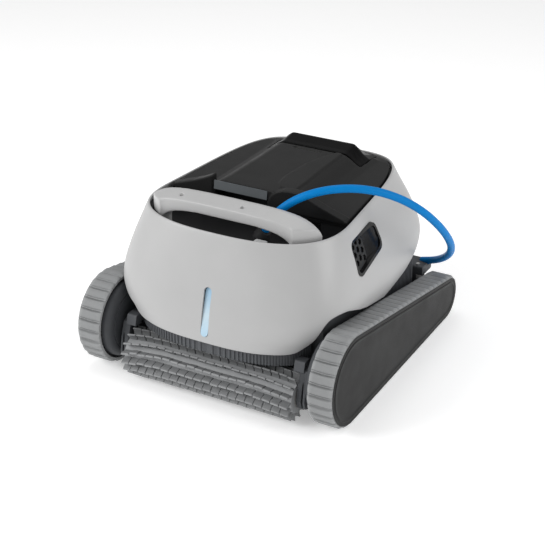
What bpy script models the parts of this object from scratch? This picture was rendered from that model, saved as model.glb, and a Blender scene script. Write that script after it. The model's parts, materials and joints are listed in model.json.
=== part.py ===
"""Tracked robotic pool cleaner, as separate solids.

Metres, +Z up.  The origin is on the floor below the middle of the machine, the
brush faces -Y and +X is the side with the cable bracket.  Shell and covers come
first, then the running gear, the pump, the filter and the cable.
"""

from math import asin, atan2, cos, hypot, pi, sin, tau

import bmesh
import bpy
from mathutils import Matrix, Vector

GAP = 0.0003  # what two touching pieces keep between their meshes

# Running gear
FLOOR_TO_FRONT_AXLE = 0.067
FLOOR_TO_REAR_AXLE = 0.0355
FRONT_AXLE = (-0.1485, FLOOR_TO_FRONT_AXLE)
REAR_AXLE = (0.1800, FLOOR_TO_REAR_AXLE)
BELT_IN, BELT_OUT = 0.163, 0.1984
BELT_THICK = 0.0065
COVER_INSET = 0.0038  # from the tread's surface in to the side cover's edge
TREAD_PADS = 60
TREAD_GROOVE = 0.0018
WHEEL_CLEAR = 0.0006
WHEEL_IN, WHEEL_OUT = 0.1685, 0.1885
AXLE_R = 0.0040
GEAR_MODULE = 0.002
RING_TEETH, MOTOR_TEETH, BRUSH_TEETH = 52, 10, 11

# Brush
BRUSH_R = 0.0350
BRUSH_CORE_R = 0.0140
BRUSH_HALF = 0.1320
BRUSH_ROWS = 15
BRUSH_DIRECTION = atan2(-0.031, -0.0265)  # from the front axle to the brush axis
BRUSH_OFFSET = GEAR_MODULE * (RING_TEETH - BRUSH_TEETH) / 2
BRUSH_AXIS = (
    FRONT_AXLE[0] + BRUSH_OFFSET * cos(BRUSH_DIRECTION),
    FRONT_AXLE[1] + BRUSH_OFFSET * sin(BRUSH_DIRECTION),
)
MOTOR_OFFSET = GEAR_MODULE * (RING_TEETH - MOTOR_TEETH) / 2
MOTOR_AXIS = (FRONT_AXLE[0] + MOTOR_OFFSET, FRONT_AXLE[1])

# Shell: height, half width, narrowing towards the rear, front reach, rear reach and
# front corner exponent at each level, from the lowest to the rim
SHELL_MIDDLE_Y = -0.0482
RIM_Z = 0.243
REAR_EXPONENT = 5.3
SHELL_LEVELS = (
    (0.090, 0.1605, 0.000, 0.1535, 0.2360, 2.75),
    (0.105, 0.1632, 0.000, 0.1525, 0.2400, 3.05),
    (0.120, 0.1692, 0.000, 0.1505, 0.2440, 3.45),
    (0.140, 0.1722, 0.000, 0.1470, 0.2480, 3.75),
    (0.160, 0.1711, 0.004, 0.1420, 0.2500, 3.70),
    (0.180, 0.1662, 0.014, 0.1370, 0.2490, 3.45),
    (0.200, 0.1602, 0.028, 0.1315, 0.2470, 3.15),
    (0.220, 0.1529, 0.048, 0.1260, 0.2440, 2.85),
    (RIM_Z, 0.1440, 0.070, 0.1198, 0.2402, 2.60),
)
# Height of the shell's lower edge along the machine: over the brush, the front
# wheels, the tracks and the rear
HEM = (
    (-0.210, 0.0950),
    (-0.191, 0.0958),
    (-0.173, 0.0978),
    (-0.166, 0.1065),
    (-0.157, 0.1325),
    (-0.149, 0.1430),
    (-0.138, 0.1465),
    (-0.127, 0.1465),
    (-0.110, 0.1440),
    (-0.065, 0.1265),
    (0.000, 0.1060),
    (0.025, 0.1010),
    (0.050, 0.1050),
    (0.110, 0.1310),
    (0.150, 0.1530),
    (0.180, 0.1680),
    (0.210, 0.1710),
)
SHELL_WALL = 0.003
RIM_GAP = 0.0035

# Top deck, lid and hood
DECK_TOP = 0.2335
DECK_BOTTOM = 0.2030
WELL_FLOOR = 0.2060
LID_BOTTOM = DECK_TOP + 0.0005
LID_TOP = RIM_Z
LID_HINGE = (0.1810, 0.2385)
HUMP_TOP = 0.2640
HOOD_FRONT = 0.1165
HOOD_TOP = 0.2690
HOOD_CREST_Y = 0.1450
HOOD_REAR = 0.1765
HOOD_BASE = 0.0760
LID_FRONT = -0.0525
PUMP_Y = 0.1250
DUCT_R = 0.0440

# Chassis and filter
CHASSIS_HALF = 0.1460
CHASSIS_FRONT, CHASSIS_REAR = -0.1350, 0.1720
CHASSIS_Z = (0.0140, 0.1550)
TUB_NECK = (0.1250, -0.1290, 0.1680)  # half width, front and rear of its upper part
BASKET_X = 0.1100
BASKET_Y = (0.0040, 0.0700)
BASKET_Z = (0.0183, 0.2300)
INTAKE_X = 0.0550
INTAKE_Y = (0.0150, 0.0590)

# Cable
CABLE_R = 0.0055
CABLE_ROUTE = (
    (0.0370, -0.0960, 0.2270),
    (0.0455, -0.0961, 0.2436),
    (0.0569, -0.0952, 0.2584),
    (0.0704, -0.0929, 0.2711),
    (0.0854, -0.0889, 0.2814),
    (0.1014, -0.0830, 0.2891),
    (0.1177, -0.0754, 0.2940),
    (0.1338, -0.0661, 0.2960),
    (0.1492, -0.0557, 0.2954),
    (0.1638, -0.0444, 0.2922),
    (0.1772, -0.0325, 0.2868),
    (0.1892, -0.0204, 0.2793),
    (0.1998, -0.0080, 0.2702),
    (0.2088, 0.0045, 0.2597),
    (0.2163, 0.0172, 0.2481),
    (0.2221, 0.0300, 0.2358),
    (0.2264, 0.0429, 0.2230),
    (0.2292, 0.0561, 0.2100),
    (0.2303, 0.0695, 0.1970),
    (0.2300, 0.0830, 0.1842),
    (0.2282, 0.0967, 0.1715),
    (0.2249, 0.1104, 0.1592),
    (0.2202, 0.1240, 0.1473),
    (0.2142, 0.1374, 0.1358),
    (0.2070, 0.1506, 0.1247),
    (0.1986, 0.1633, 0.1139),
    (0.1887, 0.1753, 0.1035),
    (0.1770, 0.1860, 0.0937),
    (0.1628, 0.1946, 0.0851),
    (0.1460, 0.1996, 0.0787),
)


# ---------------------------------------------------------------- helpers


def clear_scene():
    for obj in list(bpy.data.objects):
        bpy.data.objects.remove(obj, do_unlink=True)


def material(name, colour, roughness, metallic=0.0):
    mat = bpy.data.materials.new(name)
    mat.use_nodes = True
    shader = mat.node_tree.nodes["Principled BSDF"]
    shader.inputs["Base Color"].default_value = (*colour, 1.0)
    shader.inputs["Roughness"].default_value = roughness
    shader.inputs["Metallic"].default_value = metallic
    mat.diffuse_color = (*colour, 1.0)
    return mat


def add(name, mesh_data, mat, origin=(0, 0, 0), smooth=0.6):
    """One object from (points, faces) in world coordinates, its origin moved to a joint's axis."""
    points, faces = mesh_data
    mesh = bpy.data.meshes.new(name)
    mesh.from_pydata([Vector(p) - Vector(origin) for p in points], [], faces)
    bm = bmesh.new()
    bm.from_mesh(mesh)
    bmesh.ops.recalc_face_normals(bm, faces=bm.faces)
    bm.to_mesh(mesh)
    bm.free()
    if smooth:
        mesh.shade_smooth()
        mesh.set_sharp_from_angle(angle=smooth)
    if mat is not None:
        mesh.materials.append(mat)
    obj = bpy.data.objects.new(name, mesh)
    obj.location = origin
    bpy.context.scene.collection.objects.link(obj)
    return obj


def boolean(obj, mesh_data, operation="DIFFERENCE"):
    """Cuts a hidden tool out of an object, or joins it on."""
    tool = add(f"{obj.name}_tool_{len(obj.modifiers)}", mesh_data, None, smooth=0)
    tool.hide_render = True
    tool.display_type = "WIRE"
    modifier = obj.modifiers.new(operation.title(), "BOOLEAN")
    modifier.operation = operation
    modifier.solver = "EXACT"
    modifier.object = tool
    return obj


def loft(rings, closed=False):
    """(points, faces) through rings of equal count; the ends are capped unless the rings form a loop."""
    count = len(rings[0])
    points = [p for ring in rings for p in ring]
    faces = []
    spans = len(rings) if closed else len(rings) - 1
    for i in range(spans):
        j = (i + 1) % len(rings)
        for k in range(count):
            n = (k + 1) % count
            faces.append((i * count + k, i * count + n, j * count + n, j * count + k))
    if not closed:
        faces.append(tuple(reversed(range(count))))
        faces.append(tuple(range((len(rings) - 1) * count, len(rings) * count)))
    return points, faces


def box(low, high):
    (x0, y0, z0), (x1, y1, z1) = low, high
    ring = ((x0, y0), (x1, y0), (x1, y1), (x0, y1))
    return loft([[(x, y, z) for x, y in ring] for z in (z0, z1)])


def prism_z(outline, z0, z1):
    return loft([[(x, y, z) for x, y in outline] for z in (z0, z1)])


def prism_x(outline, x0, x1):
    return loft([[(x, y, z) for y, z in outline] for x in (x0, x1)])


def circle(centre, radius, count=32, phase=0.0):
    return [
        (centre[0] + radius * cos(tau * i / count + phase), centre[1] + radius * sin(tau * i / count + phase))
        for i in range(count)
    ]


def turned_x(profile, centre, count=32, side=1):
    """A closed profile of (x, radius) turned about the X axis through centre (y, z)."""
    rings = []
    for i in range(count):
        a = tau * i / count
        rings.append([(side * x, centre[0] + r * cos(a), centre[1] + r * sin(a)) for x, r in profile])
    return loft(rings, closed=True)


def rod_x(centre, radius, x0, x1, count=24):
    return prism_x(circle(centre, radius, count), x0, x1)


def rod_z(centre, radius, z0, z1, count=32):
    return prism_z(circle(centre, radius, count), z0, z1)


def rounded(corners, radius, steps=4):
    """A polygon's outline with each corner replaced by an arc-like curve of the given reach."""
    out = []
    count = len(corners)
    for i in range(count):
        here = Vector(corners[i])
        back = (Vector(corners[i - 1]) - here).normalized() * radius
        ahead = (Vector(corners[(i + 1) % count]) - here).normalized() * radius
        for s in range(steps + 1):
            t = s / steps
            out.append(tuple(here + back * (1 - t) ** 2 + ahead * t**2))
    return out


def interpolate(table, at, column=1):
    """A value between a table's rows, on their first column."""
    if at <= table[0][0]:
        return table[0][column]
    for low, high in zip(table, table[1:]):
        if at <= high[0]:
            t = (at - low[0]) / (high[0] - low[0])
            return low[column] + t * (high[column] - low[column])
    return table[-1][column]


def smooth_route(points, per_span=2):
    """Points on a Catmull-Rom curve through the given points."""
    ends = [Vector(points[0]) * 2 - Vector(points[1])]
    ends += [Vector(p) for p in points]
    ends += [Vector(points[-1]) * 2 - Vector(points[-2])]
    out = []
    for a, b, c, d in zip(ends, ends[1:], ends[2:], ends[3:]):
        for s in range(per_span):
            t = s / per_span
            out.append(
                0.5 * ((2 * b) + (c - a) * t + (2 * a - 5 * b + 4 * c - d) * t**2 + (3 * b - a - 3 * c + d) * t**3)
            )
    return out + [ends[-2]]


def mirrored(mesh_data):
    points, faces = mesh_data
    return [(-x, y, z) for x, y, z in points], [tuple(reversed(f)) for f in faces]


def on_side(mesh_data, side):
    return mesh_data if side > 0 else mirrored(mesh_data)


SIDES = (("right", 1), ("left", -1))


# ---------------------------------------------------------------- shell


def shell_point(angle, z, inset=0.0):
    """A point of the shell's outline at a height; angle 0 is +X and a quarter turn is the rear."""
    half, narrowing, front, rear, exponent = (interpolate(SHELL_LEVELS, z, c) for c in range(1, 6))
    c, s = cos(angle), sin(angle)
    if s >= 0:
        exponent = REAR_EXPONENT
    reach = (rear if s >= 0 else front) - inset
    along = reach * abs(s) ** (2 / exponent) * (1 if s >= 0 else -1)
    across = (half - inset) * abs(c) ** (2 / exponent) * (1 if c >= 0 else -1)
    return across * (1 - narrowing * along / 0.1), SHELL_MIDDLE_Y + along


def outline(z, inset=0.0, count=72):
    """The shell's outline at a height, with its points evened out round the corners."""
    return [shell_point(a, z, inset) for a in shell_angles(count)]


def shell_angles(count):
    """Angles that put more points on the corners than equal steps would."""
    return [tau * i / count + 0.12 * sin(4 * tau * i / count) for i in range(count)]


def hem_height(angle, inset):
    """Where the shell's outline at this angle meets its lower edge."""
    z = 0.12
    for _ in range(30):
        z = 0.5 * z + 0.5 * interpolate(HEM, shell_point(angle, z, inset)[1])
    return z


def body_shell(mat):
    levels = 8
    angles = shell_angles(64)
    outer = [[] for _ in range(levels)]
    inner = [[] for _ in range(levels)]
    for a in angles:
        for rows, inset in ((outer, 0.0), (inner, SHELL_WALL)):
            low = hem_height(a, 0.0)
            for i in range(levels):
                z = low + (RIM_Z - low) * i / (levels - 1)
                rows[i].append((*shell_point(a, z, inset), z))
    rings = outer + list(reversed(inner))
    shell = add("body_shell", loft(rings, closed=True), mat)
    boolean(shell, led_solid(0.0060, 0.0348, -0.010, 0.010))
    for _, side in SIDES:
        boolean(shell, on_side(prism_x(rounded(port_outline(0.0), 0.012), 0.120, 0.190), side))
    return shell


# ---------------------------------------------------------------- light strip

LED_CENTRE = Vector((0.0012, -0.1915, 0.138))
LED_TILT = atan2(0.018, 0.062)  # the front leans back this much


def led_solid(half_width, half_height, back, front):
    """A pill-shaped bar across the leaning front wall; back and front are along its normal."""
    straight = half_height - half_width
    ring = []
    for i in range(9):
        a = pi * i / 8
        ring.append((half_width * cos(a), straight + half_width * sin(a)))
    ring += [(-x, -v) for x, v in ring]
    up = Vector((0, sin(LED_TILT), cos(LED_TILT)))
    out = Vector((0, -cos(LED_TILT), sin(LED_TILT)))
    return loft([[tuple(LED_CENTRE + Vector((x, 0, 0)) + up * v + out * d) for x, v in ring] for d in (back, front)])


def light_strip(clear, board):
    add("led_lens", led_solid(0.0055, 0.0343, -0.0050, 0.0008), clear)
    up = Vector((0, sin(LED_TILT), cos(LED_TILT)))
    out = Vector((0, -cos(LED_TILT), sin(LED_TILT)))
    centre = LED_CENTRE + out * -0.0080
    corners = ((-0.009, -0.036), (0.009, -0.036), (0.009, 0.036), (-0.009, 0.036))
    rings = [
        [tuple(centre + Vector((x, 0, 0)) + up * v + out * d) for x, v in corners] for d in (-0.0008, 0.0008)
    ]
    add("led_board", loft(rings), board)


# ---------------------------------------------------------------- side ports


def port_outline(inset):
    """The four-cornered side port, in (y, z); each side moved in by inset."""
    corners = ((-0.0740, 0.1740), (0.0105, 0.1885), (0.0065, 0.2265), (-0.0745, 0.2250))
    middle = Vector((-0.0310, 0.2045))
    out = []
    for corner in corners:
        away = Vector(corner) - middle
        step = Vector((inset if away.x > 0 else -inset, inset if away.y > 0 else -inset))
        out.append(tuple(Vector(corner) - step))
    return out


def port_slab(shape, radius, x_at, depth0, depth1):
    """A prism through the side wall whose two faces follow the wall's lean; depths are outwards from it."""
    rings = []
    for depth in (depth0, depth1):
        rings.append([(x_at(z) + depth, y, z) for y, z in rounded(shape, radius)])
    return loft(rings)


def wall_x(z):
    """The side wall's outer face beside the port, as a plane leaning inwards with height."""
    return 0.1690 - (z - 0.174) * 0.385


def side_ports(gloss, dark):
    for name, side in SIDES:
        bezel = add(
            f"side_port_{name}",
            on_side(port_slab(port_outline(0.0005), 0.0115, wall_x, -0.0070, 0.0012), side),
            gloss,
        )
        boolean(bezel, on_side(port_slab(port_outline(0.0045), 0.0090, wall_x, -0.0055, 0.0100), side))
        grille_shape = ((-0.0690, 0.1795), (-0.0330, 0.1862), (-0.0330, 0.2200), (-0.0692, 0.2190))
        grille = add(
            f"side_grille_{name}",
            on_side(port_slab(grille_shape, 0.0100, wall_x, -0.0050, -0.0035), side),
            dark,
        )
        for row in range(3):
            for column in range(3):
                centre = (-0.0610 + 0.0105 * column, 0.1905 + 0.0110 * row + 0.0040 * (column % 2))
                if centre[1] < 0.2180:
                    hole = prism_x(circle(centre, 0.0046, 6), 0.130, 0.180)
                    boolean(grille, on_side(hole, side))


# ---------------------------------------------------------------- deck, handle


def top_deck(mat):
    deck = add("top_deck", prism_z(outline(DECK_TOP, SHELL_WALL + 0.0006), DECK_BOTTOM, DECK_TOP), mat)
    rim_inset = SHELL_WALL + RIM_GAP - 0.001
    front = [(x, y) for x, y in outline(RIM_Z, rim_inset) if y < -0.046]
    boolean(deck, prism_z(front, WELL_FLOOR, 0.26))
    boolean(deck, box((-0.096, -0.060, WELL_FLOOR), (0.096, -0.004, 0.26)))
    basket = rounded(
        ((-0.1155, BASKET_Y[0] - 0.003), (0.1155, BASKET_Y[0] - 0.003), (0.1155, 0.0760), (-0.1155, 0.0760)), 0.008
    )
    boolean(deck, prism_z(basket, 0.19, 0.26))
    boolean(deck, rod_z((0, PUMP_Y), DUCT_R, 0.19, 0.26, 40))
    boolean(deck, box((-0.15, 0.1660, 0.2290), (0.15, 0.20, 0.26)))
    for side in (1, -1):
        lug = prism_x(
            rounded(((0.1755, 0.2200), (0.1865, 0.2200), (0.1865, 0.2418), (0.1755, 0.2418)), 0.003),
            side * 0.0570,
            side * 0.0650,
        )
        boolean(deck, lug, "UNION")
    boolean(deck, rod_x(LID_HINGE, 0.0023, -0.08, 0.08))
    for _, side in SIDES:
        boolean(deck, on_side(port_slab(port_outline(0.0), 0.0115, wall_x, -0.0073, 0.0100), side))
    return deck


# Height of the handle's rear edge, and of the gap under it, at each distance from the middle
HANDLE_CROWN = (
    (0.000, 0.2740),
    (0.040, 0.2738),
    (0.072, 0.2727),
    (0.088, 0.2710),
    (0.098, 0.2692),
    (0.107, 0.2667),
    (0.114, 0.2638),
    (0.121, 0.2598),
    (0.127, 0.2545),
    (0.132, 0.2482),
    (0.137, 0.2400),
)
HANDLE_GAP = (
    (0.102, 0.1900),
    (0.102, 0.2270),
    (0.099, 0.2340),
    (0.095, 0.2392),
    (0.088, 0.2436),
    (0.078, 0.2472),
    (0.065, 0.2496),
    (0.045, 0.2513),
)


def handle_arch(x):
    """The handle's upper surface at x, as a closed loop in (y, z) that droops towards the ends."""
    rear = interpolate(HANDLE_CROWN, abs(x))
    front = rear - 0.0060
    base = WELL_FLOOR + GAP
    return [
        (x, -0.1800, base),
        (x, -0.1800, front - 0.0120),
        (x, -0.1560, front - 0.0065),
        (x, -0.1410, front - 0.0020),
        (x, -0.1350, front + 0.0006),
        (x, -0.1190, rear - 0.0004),
        (x, -0.1130, rear - 0.0012),
        (x, -0.1100, rear - 0.0050),
        (x, -0.1100, base),
    ]


def handle(mat, steel):
    """A wide bar over the front of the well, arched down to a leg at each end."""
    half = [x for x, _ in HANDLE_CROWN]
    stations = [-x for x in reversed(half[1:])] + half
    bail = add("handle", loft([handle_arch(x) for x in stations]), mat)
    inset = SHELL_WALL + RIM_GAP + 0.0005
    plan = [(x, y) for x, y in outline(RIM_Z, inset, 120) if y < -0.090]
    boolean(bail, prism_z(plan, 0.20, 0.29), "INTERSECT")
    grip_gap = list(HANDLE_GAP) + [(-x, z) for x, z in reversed(HANDLE_GAP)]
    boolean(bail, loft([[(x, y, z) for x, z in grip_gap] for y in (-0.21, -0.05)]))
    front_gap = rounded(((-0.1070, -0.22), (0.1070, -0.22), (0.1070, -0.1395), (-0.1070, -0.1395)), 0.014, 5)
    boolean(bail, prism_z(front_gap, 0.195, 0.29))
    for name, x in (("left", -0.073), ("right", 0.021)):
        boolean(bail, rod_z((x, -0.1290), 0.0028, 0.2622, 0.29, 16))
        add(f"handle_screw_{name}", rod_z((x, -0.1290), 0.0024, 0.2625, 0.2683, 16), steel)


# ---------------------------------------------------------------- lid and hood


def lid_outline():
    """The lid's outline in plan: straight across the front, inside the rim elsewhere, short at the rear corners."""
    inset = SHELL_WALL + RIM_GAP
    behind = [(x, y) for x, y in outline(RIM_Z, inset, 96) if y > LID_FRONT + 0.006]
    behind = [(x, min(y, 0.1860 if abs(x) < 0.0700 else 0.1740)) for x, y in behind]
    behind.sort(key=lambda p: atan2(p[1] - LID_FRONT + 0.001, p[0]))
    return [(-0.1370, LID_FRONT), (0.1370, LID_FRONT)] + behind


# Roof of the lid at each y: half width at its foot and where its flank starts to
# climb, crest half width and crest height
LID_ROOF = (
    (-0.060, 0.1375, 0.0900, 0.0600, 0.2640),
    (-0.020, 0.1350, 0.0880, 0.0560, 0.2640),
    (0.050, 0.1290, 0.0860, 0.0540, 0.2640),
    (0.110, 0.1240, 0.0850, 0.0530, 0.2640),
    (0.158, 0.1200, 0.0870, 0.0520, 0.2600),
    (0.176, 0.1180, 0.0880, 0.0500, 0.2438),
    (0.200, 0.1180, 0.0880, 0.0500, 0.2436),
)
LID_ARM = ((0.0720, 0.2690), (0.0862, 0.2622), (0.1010, 0.2562), (0.1220, 0.2492), (0.1345, 0.2452))


def roof_ring(y, foot, flank, crest, top):
    """The lid's section at y: low wide flanks, hollow slopes up to the crest, and a flat top."""
    rise = top - LID_TOP
    right = [
        (0.160, 0.220),
        (0.160, LID_TOP),
        (foot, LID_TOP),
        (flank, LID_TOP + rise * 0.14),
        (flank + (crest - flank) * 0.42, LID_TOP + rise * 0.40),
        (flank + (crest - flank) * 0.80, LID_TOP + rise * 0.80),
        (crest, top - rise * 0.04),
        (crest - 0.004, top),
    ]
    ring = [(x, y, z) for x, z in right]
    return ring + [(-x, yy, z) for x, yy, z in reversed(ring)]


def lid_arms(lid):
    """Two ridges along the lid's front edge; the right one starts in a rounded nose beside the grip."""
    left = [(0.1345, LID_TOP - 0.004)] + [(x, z) for x, z in reversed(LID_ARM)] + [(0.0705, 0.2694)]
    left.append((0.0705, LID_TOP - 0.004))
    y0, y1 = LID_FRONT - 0.0025, LID_FRONT + 0.0120
    boolean(lid, loft([[(-x, y, z) for x, z in left] for y in (y0, y1)]), "UNION")
    right = [(0.0180, LID_TOP - 0.004), (0.0180, 0.2500), (0.0222, 0.2572), (0.0306, 0.2648), (0.0400, 0.2688)]
    right += [(0.0500, 0.2700), (0.0620, 0.2700)] + list(LID_ARM) + [(0.1345, LID_TOP - 0.004)]
    boolean(lid, loft([[(x, y, z) for x, z in right] for y in (y0, y1)]), "UNION")


def lid_pad():
    """The soft raised pad on the right half of the hump, smaller at its top than at its foot."""
    plan = ((0.0280, -0.0400), (0.0520, -0.0450), (0.0525, 0.0000), (0.0515, 0.0500), (0.0500, 0.1140))
    plan += ((0.0400, 0.1140), (0.0290, 0.0900), (0.0188, 0.0560), (0.0145, 0.0010), (0.0180, -0.0240))
    foot = rounded(plan, 0.0045, 3)
    middle_x, middle_y = 0.0350, 0.0350
    rings = []
    for z, shrink in ((HUMP_TOP - 0.003, 0.0), (HUMP_TOP + 0.0004, 0.0), (HUMP_TOP + 0.0028, 0.0030)):
        ring = []
        for x, y in foot:
            away = hypot(x - middle_x, y - middle_y)
            keep = 1 - shrink / away
            ring.append((middle_x + (x - middle_x) * keep, middle_y + (y - middle_y) * keep, z))
        rings.append(ring)
    return rings


def top_lid(mat, grip_mat):
    lid = add("top_lid", prism_z(lid_outline(), LID_BOTTOM, 0.2800), mat)
    boolean(lid, loft([roof_ring(*row) for row in LID_ROOF]), "INTERSECT")
    lid_arms(lid)
    boolean(lid, loft(lid_pad()), "UNION")
    wide = 0.0660
    hollow = []
    for y, half, top in ((LID_FRONT + 0.0060, wide, 0.2600), (0.040, 0.060, 0.2600), (0.074, 0.056, 0.2600)):
        corners = ((half, 0.2300), (half, 0.2530), (half - 0.012, top), (-half + 0.012, top), (-half, 0.2530))
        hollow.append([(x, y, z) for x, z in corners + ((-half, 0.2300),)])
    boolean(lid, loft(hollow))
    boolean(lid, box((-0.0670, LID_FRONT - 0.0100, 0.2300), (0.0150, LID_FRONT + 0.0100, 0.2490)))
    boolean(lid, box((-0.0690, LID_FRONT - 0.0100, 0.2480), (0.0170, LID_FRONT + 0.0015, 0.2800)))
    boolean(lid, box((-HOOD_BASE - 0.0006, HOOD_FRONT - 0.0006, LID_TOP), (HOOD_BASE + 0.0006, 0.1784, 0.2900)))
    boolean(lid, rod_z((0, PUMP_Y), DUCT_R - 0.001, 0.22, 0.2585, 40))
    for side in (1, -1):
        low, high = sorted((side * 0.0560, side * 0.0660))
        boolean(lid, box((low, 0.1735, 0.22), (high, 0.20, 0.30)))
    boolean(lid, rod_x(LID_HINGE, 0.0023, -0.075, 0.075))
    slot = rounded(((-0.0295, 0.1050), (0.0180, 0.1050), (0.0160, 0.1098), (-0.0275, 0.1098)), 0.002)
    boolean(lid, prism_z(slot, HUMP_TOP - 0.0030, HUMP_TOP + 0.01))
    front = LID_FRONT + 0.0012
    section = ((front - 0.0030, 0.2500), (front, 0.2500), (front, 0.2622), (front - 0.0014, 0.2622))
    add("lid_grip", prism_x(section, -0.0680, 0.0160), grip_mat)
    return lid


def hood_ring(y, half_top, z_top, z_flare, bottom, wall=0.0):
    """A section of the outlet hood: a thin skirt, then hollow-curved sides up to its flat top."""
    base = HOOD_BASE
    span = base - half_top
    rise = z_top - z_flare
    right = [
        (base - wall, bottom),
        (base - wall, z_flare - wall),
        (base - span * 0.40 - wall * 0.4, z_flare + rise * 0.30 - wall),
        (base - span * 0.78 - wall * 0.7, z_flare + rise * 0.76 - wall * 0.8),
        (half_top - wall, z_top - 0.0008 - wall),
        (half_top - 0.0030 - wall, z_top - wall),
    ]
    ring = [(x, y, z) for x, z in right]
    return ring + [(-x, yy, z) for x, yy, z in reversed(ring)]


def outlet(hood_mat, grille_mat):
    base = LID_TOP + GAP
    sections = (
        (HOOD_FRONT, 0.0530, HUMP_TOP + 0.0006, 0.2492),
        (0.1260, 0.0520, 0.2655, 0.2490),
        (0.1370, 0.0515, 0.2675, 0.2486),
        (HOOD_CREST_Y, 0.0515, HOOD_TOP, 0.2482),
        (0.1490, 0.0515, HOOD_TOP - 0.0006, 0.2480),
        (HOOD_REAR, 0.0510, 0.2460, 0.2441),
    )
    hood = add("outlet_hood", loft([hood_ring(y, a, z, f, base) for y, a, z, f in sections]), hood_mat)
    wall = 0.0028
    first = sections[0]
    hollow = [hood_ring(HOOD_FRONT - 0.02, first[1], first[2], first[3], base - 0.01, wall)]
    hollow += [hood_ring(y, a, z, f, base - 0.01, wall) for y, a, z, f in sections[1:5]]
    hollow += [hood_ring(0.1690, 0.0500, 0.2515, 0.2445, base - 0.01, wall)]
    boolean(hood, loft(hollow))
    fall, run = HOOD_TOP - 0.0006 - 0.2460, HOOD_REAR - 0.1490
    lean = atan2(fall, run)
    middle = Vector((0, 0.1620, HOOD_TOP - 0.0006 - (0.1620 - 0.1490) * fall / run))
    boolean(hood, tilted_box(middle, lean, (0.0430, 0.0110, 0.0060)))
    grille = add("outlet_grille", tilted_box(middle, lean, (0.0425, 0.0105, 0.0010)), grille_mat)
    for i in range(-3, 4):
        slot_middle = middle + Vector((i * 0.0115, 0, 0))
        boolean(grille, tilted_box(slot_middle, lean, (0.0045, 0.0082, 0.0060)))


def tilted_box(middle, lean, half):
    """A box leaning down towards the rear; half is its half width, half length and half thickness."""
    turn = Matrix.Rotation(-lean, 4, "X")
    points, faces = box((-half[0], -half[1], -half[2]), half)
    return [tuple(middle + turn @ Vector(p)) for p in points], faces


# ---------------------------------------------------------------- chassis


def ribbed_outline():
    """The tub's outline in plan, with upright ribs along the rear half of each side."""
    rib, pitch = 0.0012, 0.0050
    side = [(CHASSIS_HALF, CHASSIS_FRONT), (CHASSIS_HALF, 0.0500)]
    y = 0.0500
    while y < CHASSIS_REAR - 0.012:
        side += [
            (CHASSIS_HALF + rib, y + 0.0004),
            (CHASSIS_HALF + rib, y + pitch * 0.5),
            (CHASSIS_HALF, y + pitch * 0.5 + 0.0004),
            (CHASSIS_HALF, y + pitch),
        ]
        y += pitch
    side += [(CHASSIS_HALF, CHASSIS_REAR - 0.008), (CHASSIS_HALF - 0.008, CHASSIS_REAR)]
    return side + [(-x, y) for x, y in reversed(side)]


def chassis(mat, cover_mat):
    tub = add("chassis_tub", prism_z(ribbed_outline(), *CHASSIS_Z), mat, smooth=0.3)
    neck = ((-TUB_NECK[0], TUB_NECK[1], CHASSIS_Z[1] - 0.006), (TUB_NECK[0], TUB_NECK[2], DECK_BOTTOM - GAP))
    boolean(tub, box(*neck), "UNION")
    inner = CHASSIS_HALF - 0.003
    shoulder = CHASSIS_Z[1] - 0.003
    boolean(tub, box((-inner, CHASSIS_FRONT + 0.003, 0.0180), (inner, CHASSIS_REAR - 0.003, shoulder)))
    inner = TUB_NECK[0] - 0.003
    boolean(tub, box((-inner, TUB_NECK[1] + 0.003, 0.1300), (inner, TUB_NECK[2] - 0.003, 0.22)))
    boolean(tub, box((-INTAKE_X, INTAKE_Y[0], 0.0), (INTAKE_X, INTAKE_Y[1], 0.05)))
    for centre, radius in ((FRONT_AXLE, AXLE_R), (REAR_AXLE, AXLE_R), (MOTOR_AXIS, 0.0035)):
        boolean(tub, rod_x(centre, radius + GAP, -0.16, 0.16, 20))
    plate = rounded(((-0.128, -0.100), (0.128, -0.100), (0.128, 0.150), (-0.128, 0.150)), 0.02)
    cover = add("bottom_cover", prism_z(plate, 0.0095, 0.0137), cover_mat)
    boolean(cover, box((-INTAKE_X + 0.002, INTAKE_Y[0] + 0.002, 0.0), (INTAKE_X - 0.002, INTAKE_Y[1] - 0.002, 0.05)))


def brush_cover(mat):
    """The ribbed apron between the shell's front edge and the brush, from bracket to bracket."""
    rib, pitch_angle = 0.0013, 0.033
    sweep = 0.96
    outer, inner = [], []
    a = -pi / 2 - sweep
    while a < -pi / 2 + sweep:
        for step, depth in ((0.0, 0.0), (0.06, rib), (0.50, rib), (0.56, 0.0)):
            outer.append(shell_point(a + step * pitch_angle, 0.100, 0.0110 - depth))
        a += pitch_angle
    count = 20
    for i in range(count + 1):
        inner.append(shell_point(a - (2 * sweep + 0.02) * i / count, 0.100, 0.0145))
    apron = add("brush_cover", prism_z(outer + inner, 0.0745, 0.1240), mat, smooth=0.3)
    boolean(apron, box((-0.0350, -0.22, 0.0990), (0.0350, -0.15, 0.13)))


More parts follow.
